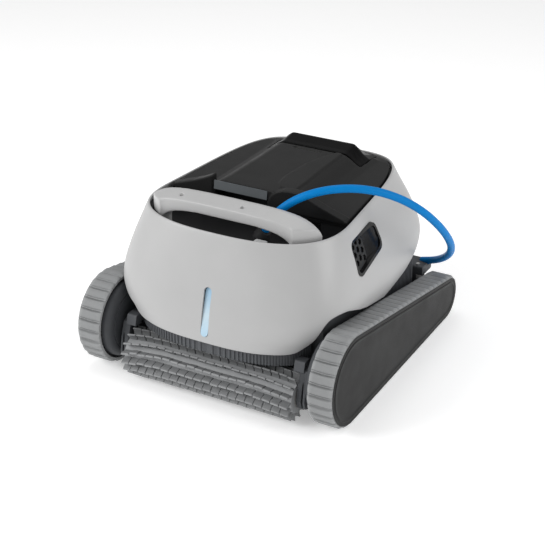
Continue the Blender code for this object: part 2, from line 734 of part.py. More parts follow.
def brush_brackets(mat):
    for name, side in SIDES:
        y, z = BRUSH_AXIS
        shape = [
            (CHASSIS_FRONT - GAP, 0.0200),
            (CHASSIS_FRONT - GAP, 0.0850),
            (y + 0.0180, 0.0850),
            (y - 0.0010, 0.0780),
            (y - 0.0090, z + 0.0200),
            (y - 0.0125, z),
            (y - 0.0090, z - 0.0110),
            (y, z - 0.0150),
        ]
        arm = add(f"brush_bracket_{name}", on_side(prism_x(shape, 0.1340, 0.1460), side), mat)
        cap = rounded(((-0.1790, 0.0748), (-0.1600, 0.0748), (-0.1600, 0.0905), (-0.1750, 0.0905)), 0.003)
        boolean(arm, on_side(prism_x(cap, 0.1250, 0.1400), side), "UNION")
        boolean(arm, on_side(box((0.1405, y - 0.03, z - 0.03), (0.1432, y - 0.0058, 0.0760)), side))
        boolean(arm, on_side(rod_x(BRUSH_AXIS, 0.0034, 0.12, 0.16), side))
        boolean(arm, on_side(rod_x(FRONT_AXLE, AXLE_R + GAP, 0.12, 0.16), side))


# ---------------------------------------------------------------- tracks


def track_loop(front_r, rear_r, arc_steps=24, run_steps=1):
    """The outline round both axles in (y, z), anticlockwise from the upper front tangent point."""
    span = hypot(REAR_AXLE[0] - FRONT_AXLE[0], REAR_AXLE[1] - FRONT_AXLE[1])
    slope = atan2(REAR_AXLE[1] - FRONT_AXLE[1], REAR_AXLE[0] - FRONT_AXLE[0])
    open_angle = asin((front_r - rear_r) / span)
    upper = pi / 2 + slope - open_angle
    lower = -pi / 2 + slope + open_angle
    points = []
    sweep = (lower + tau) - upper
    for i in range(arc_steps + 1):
        a = upper + sweep * i / arc_steps
        points.append((FRONT_AXLE[0] + front_r * cos(a), FRONT_AXLE[1] + front_r * sin(a)))
    rear = []
    sweep = upper - lower
    for i in range(arc_steps + 1):
        a = lower + sweep * i / arc_steps
        rear.append((REAR_AXLE[0] + rear_r * cos(a), REAR_AXLE[1] + rear_r * sin(a)))
    for start, finish in ((points[-1], rear[0]),):
        for i in range(1, run_steps):
            t = i / run_steps
            points.append((start[0] + (finish[0] - start[0]) * t, start[1] + (finish[1] - start[1]) * t))
    points += rear
    start, finish = rear[-1], points[0]
    for i in range(1, run_steps):
        t = i / run_steps
        points.append((start[0] + (finish[0] - start[0]) * t, start[1] + (finish[1] - start[1]) * t))
    return points


def walk(points, count):
    """Equally spaced (position, outward normal) pairs along a closed outline."""
    closed = points + [points[0]]
    lengths = [hypot(b[0] - a[0], b[1] - a[1]) for a, b in zip(closed, closed[1:])]
    total = sum(lengths)
    out = []
    for i in range(count):
        left = total * i / count
        for (a, b), length in zip(zip(closed, closed[1:]), lengths):
            if left <= length or (a, b) == (closed[-2], closed[-1]):
                t = left / length
                direction = ((b[0] - a[0]) / length, (b[1] - a[1]) / length)
                here = (a[0] + (b[0] - a[0]) * t, a[1] + (b[1] - a[1]) * t)
                out.append((here, (direction[1], -direction[0])))
                break
            left -= length
    return out


def track_belt(name, side, mat):
    """A toothed rubber loop: pads outside with a groove between each, and a plain inner face."""
    steps_per_pad = 3
    outer = walk(track_loop(FRONT_AXLE[1], REAR_AXLE[1], 48, 24), TREAD_PADS * steps_per_pad)
    rings = []
    for i, (point, normal) in enumerate(outer):
        depth = TREAD_GROOVE if i % steps_per_pad == 0 else 0.0
        top = (point[0] - normal[0] * depth, point[1] - normal[1] * depth)
        base = (point[0] - normal[0] * BELT_THICK, point[1] - normal[1] * BELT_THICK)
        rings.append(
            [(BELT_IN, *base), (BELT_OUT, *base), (BELT_OUT, *top), (BELT_IN, *top)]
        )
    add(f"track_belt_{name}", on_side(loft(rings, closed=True), side), mat, smooth=0.2)


def internal_gear_ring(teeth, phase):
    """An internal gear's outline in polar form: (radius, angle) with trapezoid gaps."""
    pitch_r = GEAR_MODULE * teeth / 2
    out = []
    for i in range(teeth):
        a = phase + tau * i / teeth
        half = tau / teeth
        out += [
            (pitch_r + 0.0014, a - 0.24 * half),
            (pitch_r + 0.0014, a + 0.24 * half),
            (pitch_r - 0.0012, a + 0.34 * half),
            (pitch_r - 0.0012, a + 0.66 * half),
        ]
    return out


def pinion_outline(centre, teeth, phase, shrink=0.0):
    """An external gear's outline in (y, z), with one tooth's middle at the phase angle."""
    pitch_r = GEAR_MODULE * teeth / 2
    out = []
    for i in range(teeth):
        a = phase + tau * i / teeth
        step = tau / teeth
        for r, offset in (
            (pitch_r - 0.0014, -0.30),
            (pitch_r + 0.0010, -0.11 + shrink),
            (pitch_r + 0.0010, 0.11 - shrink),
            (pitch_r - 0.0014, 0.30),
        ):
            out.append((centre[0] + r * cos(a + offset * step), centre[1] + r * sin(a + offset * step)))
    return out


def drive_wheel(name, side, mat):
    """The front wheel: a cup with an internal gear round its rim, a web and a bored hub."""
    gear_depth = 0.0100
    rim_r = FLOOR_TO_FRONT_AXLE - BELT_THICK - WHEEL_CLEAR
    wheel = add(
        f"drive_wheel_{name}",
        on_side(prism_x(circle(FRONT_AXLE, rim_r, 48), WHEEL_IN, WHEEL_OUT), side),
        mat,
        origin=(0, *FRONT_AXLE),
    )
    teeth = [
        (FRONT_AXLE[0] + r * cos(a), FRONT_AXLE[1] + r * sin(a)) for r, a in internal_gear_ring(RING_TEETH, 0.0)
    ]
    boolean(wheel, on_side(prism_x(teeth, WHEEL_IN - 0.01, WHEEL_IN + gear_depth), side))
    hub = prism_x(circle(FRONT_AXLE, 0.0110, 24), WHEEL_IN + 0.0005, WHEEL_OUT - 0.002)
    boolean(wheel, on_side(hub, side), "UNION")
    boolean(wheel, on_side(rod_x(FRONT_AXLE, AXLE_R + 0.0004, 0.15, 0.20), side))


def idler_wheel(name, side, mat):
    rim_r = FLOOR_TO_REAR_AXLE - BELT_THICK - WHEEL_CLEAR
    bore = AXLE_R + 0.0004
    profile = (
        (WHEEL_IN, bore),
        (WHEEL_OUT - 0.001, bore),
        (WHEEL_OUT - 0.001, 0.0100),
        (0.1830, 0.0105),
        (0.1830, rim_r - 0.0040),
        (WHEEL_OUT, rim_r - 0.0035),
        (WHEEL_OUT, rim_r),
        (WHEEL_IN, rim_r),
        (WHEEL_IN, rim_r - 0.0035),
        (0.1740, rim_r - 0.0040),
        (0.1740, 0.0105),
        (WHEEL_IN, 0.0100),
    )
    add(f"idler_wheel_{name}", turned_x(profile, REAR_AXLE, 28, side), mat, origin=(0, *REAR_AXLE))


def tracks(mats):
    front_in = FLOOR_TO_FRONT_AXLE - BELT_THICK
    rear_in = FLOOR_TO_REAR_AXLE - BELT_THICK
    for name, side in SIDES:
        track_belt(name, side, mats["tread"])
        drive_wheel(name, side, mats["wheel"])
        idler_wheel(name, side, mats["wheel"])
        frame_shape = track_loop(front_in - 0.0040, rear_in - 0.0030, 14, 1)
        frame = add(f"track_frame_{name}", on_side(prism_x(frame_shape, 0.1500, 0.1665), side), mats["frame"])
        for centre, radius in ((FRONT_AXLE, AXLE_R), (REAR_AXLE, AXLE_R), (MOTOR_AXIS, 0.0035), (BRUSH_AXIS, 0.0034)):
            boolean(frame, on_side(rod_x(centre, radius + GAP, 0.14, 0.18, 20), side))
        cover_shape = track_loop(front_in - 0.0015, rear_in - 0.0015, 16, 1)
        lip_shape = track_loop(FRONT_AXLE[1] - COVER_INSET, REAR_AXLE[1] - COVER_INSET, 16, 1)
        face_shape = track_loop(FRONT_AXLE[1] - COVER_INSET - 0.0020, REAR_AXLE[1] - COVER_INSET - 0.0020, 16, 1)
        rings = [
            [(0.1895, *p) for p in cover_shape],
            [(BELT_OUT + 0.0006, *p) for p in cover_shape],
            [(BELT_OUT + 0.0006, *p) for p in lip_shape],
            [(0.1994, *p) for p in lip_shape],
            [(0.2000, *p) for p in face_shape],
        ]
        cover = add(f"side_cover_{name}", on_side(loft(rings), side), mats["cover"])
        panel = track_loop(FRONT_AXLE[1] - COVER_INSET - 0.0070, REAR_AXLE[1] - COVER_INSET - 0.0070, 16, 1)
        boolean(cover, on_side(prism_x(panel, 0.1990, 0.21), side))
        for axle_name, centre in (("drive", FRONT_AXLE), ("idler", REAR_AXLE)):
            inner_end = 0.1475 if axle_name == "drive" else 0.1400
            rod = rod_x(centre, AXLE_R, inner_end if axle_name == "idler" else 0.1350, 0.1892)
            add(f"{axle_name}_axle_{name}", on_side(rod, side), mats["steel"])
        motor = prism_x(pinion_outline(MOTOR_AXIS, MOTOR_TEETH, 0.0), 0.1700, 0.1765)
        pinion = add(f"motor_pinion_{name}", on_side(motor, side), mats["gear"], origin=(0, *MOTOR_AXIS))
        boolean(pinion, on_side(rod_x(MOTOR_AXIS, 0.0030, 0.1255, 0.1720), side), "UNION")


# ---------------------------------------------------------------- brush


def lamella_ring(x, twist):
    """One section of the brush sleeve: a thin blade per row round a ring."""
    points = []
    for i in range(BRUSH_ROWS):
        a = tau * i / BRUSH_ROWS + twist
        step = tau / BRUSH_ROWS
        for r, offset in (
            (BRUSH_CORE_R + 0.0030, -0.5),
            (BRUSH_CORE_R + 0.0030, -0.17),
            (BRUSH_R, -0.055),
            (BRUSH_R, 0.055),
            (BRUSH_CORE_R + 0.0030, 0.17),
        ):
            points.append((x, BRUSH_AXIS[0] + r * cos(a + offset * step), BRUSH_AXIS[1] + r * sin(a + offset * step)))
    return points


def brush(mats):
    stations = ((1.0, 0.24), (0.78, 0.10), (0.53, 0.0))
    rows = [(-f * BRUSH_HALF, t) for f, t in stations] + [(f * BRUSH_HALF, t * 0.6) for f, t in reversed(stations)]
    sleeve = add(
        "brush_sleeve", loft([lamella_ring(x, t) for x, t in rows]), mats["brush"], origin=(0, *BRUSH_AXIS), smooth=0.3
    )
    boolean(sleeve, rod_x(BRUSH_AXIS, BRUSH_CORE_R + GAP, -0.14, 0.14, 32))
    spindle_r = 0.0030
    profile = (
        (-BRUSH_HALF, spindle_r + GAP),
        (BRUSH_HALF, spindle_r + GAP),
        (BRUSH_HALF, BRUSH_CORE_R),
        (-BRUSH_HALF, BRUSH_CORE_R),
    )
    add("brush_core", turned_x(profile, BRUSH_AXIS, 32), mats["gear"], origin=(0, *BRUSH_AXIS))
    add("brush_spindle", rod_x(BRUSH_AXIS, spindle_r, -0.1450, 0.1772, 20), mats["steel"], origin=(0, *BRUSH_AXIS))
    pitch = tau / RING_TEETH
    phase_error = BRUSH_DIRECTION - round(BRUSH_DIRECTION / pitch) * pitch
    phase = BRUSH_DIRECTION - phase_error * RING_TEETH / BRUSH_TEETH
    pinion = add(
        "brush_pinion",
        prism_x(pinion_outline(BRUSH_AXIS, BRUSH_TEETH, phase), 0.1700, 0.1765),
        mats["gear"],
        origin=(0, *BRUSH_AXIS),
    )
    boolean(pinion, rod_x(BRUSH_AXIS, spindle_r + GAP, 0.15, 0.19, 20))


# ---------------------------------------------------------------- motors, pump, filter


def drive_unit(mats):
    """The sealed box behind the brush: two track motors and the control board."""
    y0, y1 = MOTOR_AXIS[0] - 0.0235, MOTOR_AXIS[0] + 0.0235
    z0, z1 = MOTOR_AXIS[1] - 0.0260, MOTOR_AXIS[1] + 0.0330
    case = add("drive_housing", box((-0.1300, y0, z0), (0.1300, y1, z1)), mats["housing"])
    boolean(case, box((-0.1270, y0 + 0.0025, z0 + 0.0025), (0.1270, y1 - 0.0025, z1 - 0.0025)))
    boolean(case, rod_x(MOTOR_AXIS, 0.0060, -0.14, 0.14, 20))
    for name, side in SIDES:
        can = rod_x(MOTOR_AXIS, 0.0190, 0.0500, 0.1250, 32)
        add(f"drive_motor_{name}", on_side(can, side), mats["steel"])
    board_z = z1 - 0.0080
    add("control_board", box((-0.1150, y0 + 0.0050, board_z), (0.1150, y1 - 0.0050, board_z + 0.0016)), mats["board"])


def pump(mats):
    centre = (0, PUMP_Y)
    case = add("pump_housing", rod_z(centre, 0.0380, 0.0185, 0.1800, 40), mats["housing"], smooth=0.5)
    boolean(case, rod_z(centre, 0.0340, 0.0230, 0.1760, 40))
    boolean(case, rod_z(centre, 0.0050, 0.1700, 0.1900, 20))
    add("pump_motor", rod_z(centre, 0.0300, 0.0300, 0.1500, 40), mats["steel"])
    shaft = add("impeller_shaft", rod_z(centre, 0.0030, 0.1510, 0.2240, 20), mats["steel"], origin=(0, PUMP_Y, 0))
    del shaft
    blades = 6
    rings = []
    for z, twist in ((0.2050, 0.0), (0.2120, 0.16), (0.2200, 0.36)):
        ring = []
        for i in range(blades):
            a = tau * i / blades + twist
            for r, offset in ((0.0120, -0.22), (0.0400, -0.05), (0.0410, 0.02), (0.0400, 0.08), (0.0125, 0.16)):
                ring.append((r * cos(a + offset), PUMP_Y + r * sin(a + offset), z))
        rings.append(ring)
    wheel = add("impeller", loft(rings), mats["gear"], origin=(0, PUMP_Y, 0), smooth=0.3)
    boolean(wheel, rod_z(centre, 0.0030 + GAP, 0.19, 0.24, 20))


def filter_basket(mats):
    x, (y0, y1), (z0, z1) = BASKET_X, BASKET_Y, BASKET_Z
    post = 0.0080
    frame = add("filter_basket", box((-x, y0, z0), (x, y1, z1)), mats["basket"])
    wall = 0.0020
    boolean(frame, box((-x + wall, y0 + wall, z0 + wall), (x - wall, y1 - wall, z1 + 0.02)))
    for low, high in ((-x + post, -post / 2), (post / 2, x - post)):
        boolean(frame, box((low, y0 - 0.01, z0 + post), (high, y1 + 0.01, z1 - 0.020)))
    boolean(frame, box((-x - 0.01, y0 + post, z0 + post), (x + 0.01, y1 - post, z1 - 0.020)))
    flap_x = INTAKE_X - 0.002
    flap_hole = box((-flap_x, y0 + 0.0110, z0 - 0.010), (flap_x, y1 - 0.0110, z0 + 0.006))
    boolean(frame, flap_hole)
    inset = wall + 0.0004
    screen = add(
        "filter_screen",
        box((-x + inset, y0 + inset, z0 + inset), (x - inset, y1 - inset, z1 - 0.0060)),
        mats["screen"],
    )
    skin = 0.0012
    inset += skin
    boolean(screen, box((-x + inset, y0 + inset, z0 + inset), (x - inset, y1 - inset, z1 + 0.02)))
    boolean(screen, flap_hole)
    middle = (y0 + y1) / 2
    for name, hinge_y, inner_y in (("front", y0 + 0.0120, middle - 0.0004), ("rear", y1 - 0.0120, middle + 0.0004)):
        low, high = sorted((hinge_y, inner_y))
        add(
            f"basket_flap_{name}",
            box((-flap_x + 0.0010, low, z0 + 0.0002), (flap_x - 0.0010, high, z0 + 0.0016)),
            mats["rubber"],
            origin=(0, hinge_y, z0 + 0.0009),
        )
    bail = 0.0022
    reach = x - 0.0080
    arch = [(-reach, middle - bail), (reach, middle - bail), (reach, middle + bail), (-reach, middle + bail)]
    add("basket_handle", prism_z(arch, z1 - 0.0048, z1 - 0.0010), mats["basket"])


# ---------------------------------------------------------------- cable


def cable(mats):
    data = bpy.data.curves.new("cable", "CURVE")
    data.dimensions = "3D"
    data.bevel_depth = CABLE_R
    data.bevel_resolution = 2
    data.use_fill_caps = True
    route = smooth_route(CABLE_ROUTE)
    spline = data.splines.new("POLY")
    spline.points.add(len(route) - 1)
    for point, position in zip(spline.points, route):
        point.co = (*position, 1.0)
    data.materials.append(mats["cable"])
    obj = bpy.data.objects.new("cable", data)
    bpy.context.scene.collection.objects.link(obj)
    start, ahead = Vector(CABLE_ROUTE[0]), Vector(CABLE_ROUTE[1])
    gland(start, (ahead - start).normalized(), mats["rubber"])
    plan = rounded(((0.0300, -0.1190), (0.0490, -0.1190), (0.0480, -0.1088), (0.0310, -0.1088)), 0.003)
    add("cable_clip", prism_z(plan, WELL_FLOOR + GAP, 0.2180), mats["clip"])
    bracket(mats)


def gland(mouth, direction, mat):
    """A stubby tapered boss that the cable leaves the deck by."""
    across = direction.cross(Vector((0, 1, 0))).normalized()
    side = direction.cross(across)
    rings = []
    for along, radius in ((-0.0170, 0.0115), (-0.0120, 0.0120), (-0.0060, 0.0110), (-GAP, 0.0090)):
        centre = mouth + direction * along
        rings.append(
            [tuple(centre + across * radius * cos(tau * i / 24) + side * radius * sin(tau * i / 24)) for i in range(24)]
        )
    boss = add("cable_gland", loft(rings), mat)
    low = WELL_FLOOR + GAP
    boolean(boss, box((-0.02, -0.15, low - 0.05), (0.12, -0.05, low)))


def bracket(mats):
    """The clamp block behind the tub's right corner, with the trough that the cable ends in."""
    rear, top = 0.2070, 0.0812
    shape = rounded(
        ((CHASSIS_REAR + GAP, 0.0665), (rear, 0.0665), (rear, top), (CHASSIS_REAR + GAP, top)),
        0.003,
    )
    block = add("cable_bracket", prism_x(shape, 0.1190, 0.1585), mats["frame"], smooth=0.5)
    boolean(block, box((0.1200, CHASSIS_REAR + GAP, 0.0480), (0.1488, rear - 0.0010, 0.0700)), "UNION")
    end, before = Vector(CABLE_ROUTE[-1]), Vector(CABLE_ROUTE[-2])
    along = (end - before).normalized()
    across = along.cross(Vector((0, 0, 1))).normalized()
    up = across.cross(along)
    radius = CABLE_R + 0.0015
    rings = []
    for middle in (end + along * 0.0010, before - along * 0.0120):
        rings.append(
            [tuple(middle + across * radius * cos(tau * i / 24) + up * radius * sin(tau * i / 24)) for i in range(24)]
        )
    boolean(block, loft(rings))
    for name, x in (("inner", 0.1290), ("outer", 0.1480)):
        add(f"bracket_screw_{name}", rod_z((x, 0.1790), 0.0028, top + GAP, top + 0.0020, 16), mats["steel"])


def hinge_pin(steel):
    add("lid_hinge_pin", rod_x(LID_HINGE, 0.0020, -0.0680, 0.0680, 20), steel)


def main():
    clear_scene()
    mats = {
        "shell": material("satin_grey_shell", (0.52, 0.52, 0.52), 0.38),
        "lid": material("dark_satin_plastic", (0.035, 0.036, 0.037), 0.42),
        "hood": material("black_plastic", (0.012, 0.012, 0.013), 0.35),
        "gloss": material("gloss_black", (0.008, 0.008, 0.009), 0.12),
        "grip": material("mid_grey_plastic", (0.09, 0.095, 0.10), 0.45),
        "frame": material("charcoal_plastic", (0.035, 0.036, 0.040), 0.5),
        "cover": material("side_cover_plastic", (0.045, 0.045, 0.045), 0.45),
        "wheel": material("wheel_plastic", (0.05, 0.05, 0.055), 0.5),
        "gear": material("gear_nylon", (0.25, 0.25, 0.24), 0.4),
        "tread": material("grey_rubber", (0.24, 0.245, 0.25), 0.7),
        "brush": material("grey_pvc", (0.16, 0.165, 0.17), 0.55),
        "rubber": material("black_rubber", (0.03, 0.03, 0.03), 0.7),
        "housing": material("motor_housing", (0.04, 0.042, 0.05), 0.45),
        "steel": material("stainless_steel", (0.62, 0.62, 0.62), 0.3, 1.0),
        "basket": material("basket_plastic", (0.06, 0.20, 0.42), 0.45),
        "screen": material("filter_mesh", (0.45, 0.47, 0.48), 0.8),
        "board": material("circuit_board", (0.02, 0.16, 0.07), 0.5),
        "lens": material("pale_blue_lens", (0.42, 0.62, 0.75), 0.15),
        "cable": material("blue_cable", (0.0, 0.19, 0.58), 0.4),
        "clip": material("pale_clip", (0.6, 0.6, 0.6), 0.4),
    }
    body_shell(mats["shell"])
    light_strip(mats["lens"], mats["board"])
    side_ports(mats["gloss"], mats["hood"])
    top_deck(mats["hood"])
    handle(mats["shell"], mats["steel"])
    top_lid(mats["lid"], mats["grip"])
    outlet(mats["hood"], mats["hood"])
    hinge_pin(mats["steel"])
    chassis(mats["frame"], mats["frame"])
    brush_cover(mats["frame"])
    brush_brackets(mats["frame"])
    tracks(mats)
    brush(mats)
    drive_unit(mats)
    pump(mats)
    filter_basket(mats)
    cable(mats)


main()
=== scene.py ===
"""Looks of the tracked pool cleaner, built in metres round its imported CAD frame."""

import json
import random
from math import asin, atan2, cos, hypot, pi, radians, sin, tau

import bmesh
import bpy
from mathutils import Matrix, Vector


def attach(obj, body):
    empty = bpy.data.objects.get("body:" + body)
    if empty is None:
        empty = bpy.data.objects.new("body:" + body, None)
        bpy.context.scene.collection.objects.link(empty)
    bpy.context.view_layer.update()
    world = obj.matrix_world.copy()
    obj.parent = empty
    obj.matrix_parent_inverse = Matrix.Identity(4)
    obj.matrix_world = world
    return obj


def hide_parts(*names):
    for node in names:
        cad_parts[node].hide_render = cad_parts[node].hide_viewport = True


# ---------------------------------------------------------------- sizes shared with the frame

FRONT_AXLE = (-0.1485, 0.0670)
REAR_AXLE = (0.1800, 0.0355)
BELT_IN, BELT_OUT, BELT_THICK = 0.163, 0.1984, 0.0065
TREAD_PADS = 60
SHELL_MIDDLE_Y = -0.0482
RIM_Z = 0.243
SHELL_WALL = 0.003
REAR_EXPONENT = 5.3
# height, half width, narrowing to the rear, front reach, rear reach, front exponent
SHELL_LEVELS = (
    (0.090, 0.1605, 0.000, 0.1535, 0.2360, 2.75),
    (0.105, 0.1632, 0.000, 0.1525, 0.2400, 3.05),
    (0.120, 0.1692, 0.000, 0.1505, 0.2440, 3.45),
    (0.140, 0.1722, 0.000, 0.1470, 0.2480, 3.75),
    (0.160, 0.1711, 0.004, 0.1420, 0.2500, 3.70),
    (0.180, 0.1662, 0.014, 0.1370, 0.2490, 3.45),
    (0.200, 0.1602, 0.028, 0.1315, 0.2470, 3.15),
    (0.220, 0.1529, 0.048, 0.1260, 0.2440, 2.85),
    (RIM_Z, 0.1440, 0.070, 0.1198, 0.2402, 2.60),
)
# the shell's lower edge along the machine, as (y, z)
HEM = (
    (-0.210, 0.0950),
    (-0.191, 0.0958),
    (-0.173, 0.0978),
    (-0.166, 0.1065),
    (-0.157, 0.1325),
    (-0.149, 0.1430),
    (-0.138, 0.1465),
    (-0.127, 0.1465),
    (-0.110, 0.1440),
    (-0.065, 0.1265),
    (0.000, 0.1060),
    (0.025, 0.1010),
    (0.050, 0.1050),
    (0.110, 0.1310),
    (0.150, 0.1530),
    (0.180, 0.1680),
    (0.210, 0.1710),
)
CABLE_DIAMETER = 0.0110
# the cable's middle line, from the gland to the rear clamp
CABLE_ROUTE = (
    (0.0370, -0.0960, 0.2270),
    (0.0455, -0.0961, 0.2436),
    (0.0569, -0.0952, 0.2584),
    (0.0704, -0.0929, 0.2711),
    (0.0854, -0.0889, 0.2814),
    (0.1014, -0.0830, 0.2891),
    (0.1177, -0.0754, 0.2940),
    (0.1338, -0.0661, 0.2960),
    (0.1492, -0.0557, 0.2954),
    (0.1638, -0.0444, 0.2922),
    (0.1772, -0.0325, 0.2868),
    (0.1892, -0.0204, 0.2793),
    (0.1998, -0.0080, 0.2702),
    (0.2088, 0.0045, 0.2597),
    (0.2163, 0.0172, 0.2481),
    (0.2221, 0.0300, 0.2358),
    (0.2264, 0.0429, 0.2230),
    (0.2292, 0.0561, 0.2100),
    (0.2303, 0.0695, 0.1970),
    (0.2300, 0.0830, 0.1842),
    (0.2282, 0.0967, 0.1715),
    (0.2249, 0.1104, 0.1592),
    (0.2202, 0.1240, 0.1473),
    (0.2142, 0.1374, 0.1358),
    (0.2070, 0.1506, 0.1247),
    (0.1986, 0.1633, 0.1139),
    (0.1887, 0.1753, 0.1035),
    (0.1770, 0.1860, 0.0937),
    (0.1628, 0.1946, 0.0851),
    (0.1460, 0.1996, 0.0787),
)
BRUSH_AXIS = (-0.175137, 0.035835)
BRUSH_R, BRUSH_CORE_R, BRUSH_HALF, BRUSH_ROWS = 0.0350, 0.0140, 0.1320, 15
SIDES = (("right", 1), ("left", -1))

# the shallow slot in the raised pad of the lid: its corners as (x, y), and its floor and the cutter's top
LID_SLOT = ((-0.0295, 0.1050), (0.0180, 0.1050), (0.0160, 0.1094), (-0.0275, 0.1094))
LID_SLOT_Z = (0.2614, 0.2760)

# ---------------------------------------------------------------- camera and studio

CAMERA_AZIMUTH = radians(28.744)
CAMERA_ELEVATION = radians(26.983)
CAMERA_DISTANCE = 1.979
CAMERA_TARGET = Vector((0.0, -0.0084, 0.1148))
CAMERA_LENS = 90.68  # on a 36 mm sensor


def add_camera():
    """The main view, aimed at the machine's middle."""
    flat = cos(CAMERA_ELEVATION)
    back = Vector((sin(CAMERA_AZIMUTH) * flat, -cos(CAMERA_AZIMUTH) * flat, sin(CAMERA_ELEVATION)))
    camera = bpy.data.objects.new("camera", bpy.data.cameras.new("camera"))
    camera.location = CAMERA_TARGET + back * CAMERA_DISTANCE
    camera.rotation_euler = (-back).to_track_quat("-Z", "Y").to_euler()
    camera.data.lens = CAMERA_LENS
    camera.data.sensor_width = 36.0
    camera.data.clip_end = 50.0
    bpy.context.scene.collection.objects.link(camera)
    bpy.context.scene.camera = camera


def area_light(name, place, aim, size, power):
    light = bpy.data.lights.new(name, "AREA")
    light.shape = "RECTANGLE"
    light.size, light.size_y = size
    light.energy = power
    lamp = bpy.data.objects.new(name, light)
    lamp.location = place
    lamp.rotation_euler = (Vector(aim) - Vector(place)).to_track_quat("-Z", "Y").to_euler()
    bpy.context.scene.collection.objects.link(lamp)


FLOOR_HALF = 8.0
FLOOR_DROP = 0.0002
FLOOR_GLOW = 0.30
WORLD_STRENGTH = 0.44
# name, place, aim, size and power
LIGHTS = (
    ("key", (-1.5, -1.6, 1.3), (0, 0, 0.1), (1.3, 1.3), 37),
    ("fill", (2.0, 0.1, 1.0), (0, 0, 0.12), (1.2, 1.2), 17),
    ("top", (0.0, 0.5, 2.0), (0, 0, 0.1), (1.6, 1.6), 9),
)


def add_studio():
    """A pale floor under soft, even light."""
    scene = bpy.context.scene
    scene.view_settings.view_transform = "Standard"
    world = bpy.data.worlds.new("studio")
    world.use_nodes = True
    background = world.node_tree.nodes["Background"]
    background.inputs["Color"].default_value = (1.0, 1.0, 1.0, 1.0)
    background.inputs["Strength"].default_value = WORLD_STRENGTH
    scene.world = world
    for light in LIGHTS:
        area_light(*light)
    floor = bpy.data.meshes.new("floor")
    corners = ((-1, -1), (1, -1), (1, 1), (-1, 1))
    floor.from_pydata([(x * FLOOR_HALF, y * FLOOR_HALF, -FLOOR_DROP) for x, y in corners], [], [(0, 1, 2, 3)])
    floor_object = bpy.data.objects.new("floor", floor)
    scene.collection.objects.link(floor_object)
    paper = plastic("floor_paper", (0.93, 0.93, 0.93), 0.9, grain=0.0, mottle=0.0)
    shader = paper.node_tree.nodes["Principled BSDF"]
    shader.inputs["Emission Color"].default_value = (1.0, 1.0, 1.0, 1.0)
    shader.inputs["Emission Strength"].default_value = FLOOR_GLOW
    floor.materials.append(paper)


# ---------------------------------------------------------------- materials


def node(tree, kind, **values):
    made = tree.nodes.new(kind)
    for name, value in values.items():
        if name in made.inputs:
            made.inputs[name].default_value = value
        else:
            setattr(made, name, value)
    return made


def mixed(tree, low, high, factor):
    """A colour between two, by a factor socket."""
    mix = tree.nodes.new("ShaderNodeMix")
    mix.data_type = "RGBA"
    mix.inputs["A"].default_value = (*low, 1)
    mix.inputs["B"].default_value = (*high, 1)
    tree.links.new(factor, mix.inputs["Factor"])
    return mix.outputs["Result"]


def noise(tree, scale, detail=3.0, stretch=(1, 1, 1)):
    coordinates = tree.nodes.new("ShaderNodeTexCoord")
    mapping = tree.nodes.new("ShaderNodeMapping")
    mapping.inputs["Scale"].default_value = stretch
    texture = node(tree, "ShaderNodeTexNoise", Scale=scale, Detail=detail)
    tree.links.new(coordinates.outputs["Object"], mapping.inputs["Vector"])
    tree.links.new(mapping.outputs["Vector"], texture.inputs["Vector"])
    return texture.outputs["Fac"]


def ramp(tree, factor, low, high):
    """The factor stretched so that low becomes 0 and high becomes 1."""
    spread = tree.nodes.new("ShaderNodeMapRange")
    spread.inputs["From Min"].default_value = low
    spread.inputs["From Max"].default_value = high
    tree.links.new(factor, spread.inputs["Value"])
    return spread.outputs["Result"]


def plastic(
    name,
    colour,
    roughness,
    grain=0.02,
    grain_scale=2200,
    mottle=0.05,
    mottle_scale=28,
    metallic=0.0,
    coat=0.0,
    stretch=(1, 1, 1),
    wear=0.0,
    specular=0.5,
):
    """Moulded plastic, rubber or metal: a slightly mottled colour and roughness, and a fine surface grain."""
    mat = bpy.data.materials.new(name)
    mat.use_nodes = True
    tree = mat.node_tree
    shader = tree.nodes["Principled BSDF"]
    shader.inputs["Metallic"].default_value = metallic
    shader.inputs["Coat Weight"].default_value = coat
    shader.inputs["Coat Roughness"].default_value = 0.08
    shader.inputs["Specular IOR Level"].default_value = specular
    cloud = ramp(tree, noise(tree, mottle_scale, stretch=stretch), 0.3, 0.7)
    low = tuple(c * (1 - mottle) for c in colour)
    high = tuple(min(1.0, c * (1 + mottle)) for c in colour)
    base = mixed(tree, low, high, cloud)
    if wear:
        edges = tree.nodes.new("ShaderNodeNewGeometry")
        edge = ramp(tree, edges.outputs["Pointiness"], 0.52, 0.62)
        worn = tree.nodes.new("ShaderNodeMix")
        worn.data_type = "RGBA"
        worn.inputs["B"].default_value = (*[min(1.0, c * (1 + wear) + 0.01) for c in colour], 1)
        tree.links.new(base, worn.inputs["A"])
        tree.links.new(edge, worn.inputs["Factor"])
        base = worn.outputs["Result"]
    tree.links.new(base, shader.inputs["Base Color"])
    rough = tree.nodes.new("ShaderNodeMapRange")
    rough.inputs["To Min"].default_value = roughness * 0.9
    rough.inputs["To Max"].default_value = min(1.0, roughness * 1.1)
    tree.links.new(cloud, rough.inputs["Value"])
    tree.links.new(rough.outputs["Result"], shader.inputs["Roughness"])
    if grain:
        bump = node(tree, "ShaderNodeBump", Strength=grain * 10, Distance=0.0002)
        tree.links.new(noise(tree, grain_scale, 2.0), bump.inputs["Height"])
        tree.links.new(bump.outputs["Normal"], shader.inputs["Normal"])
    return mat


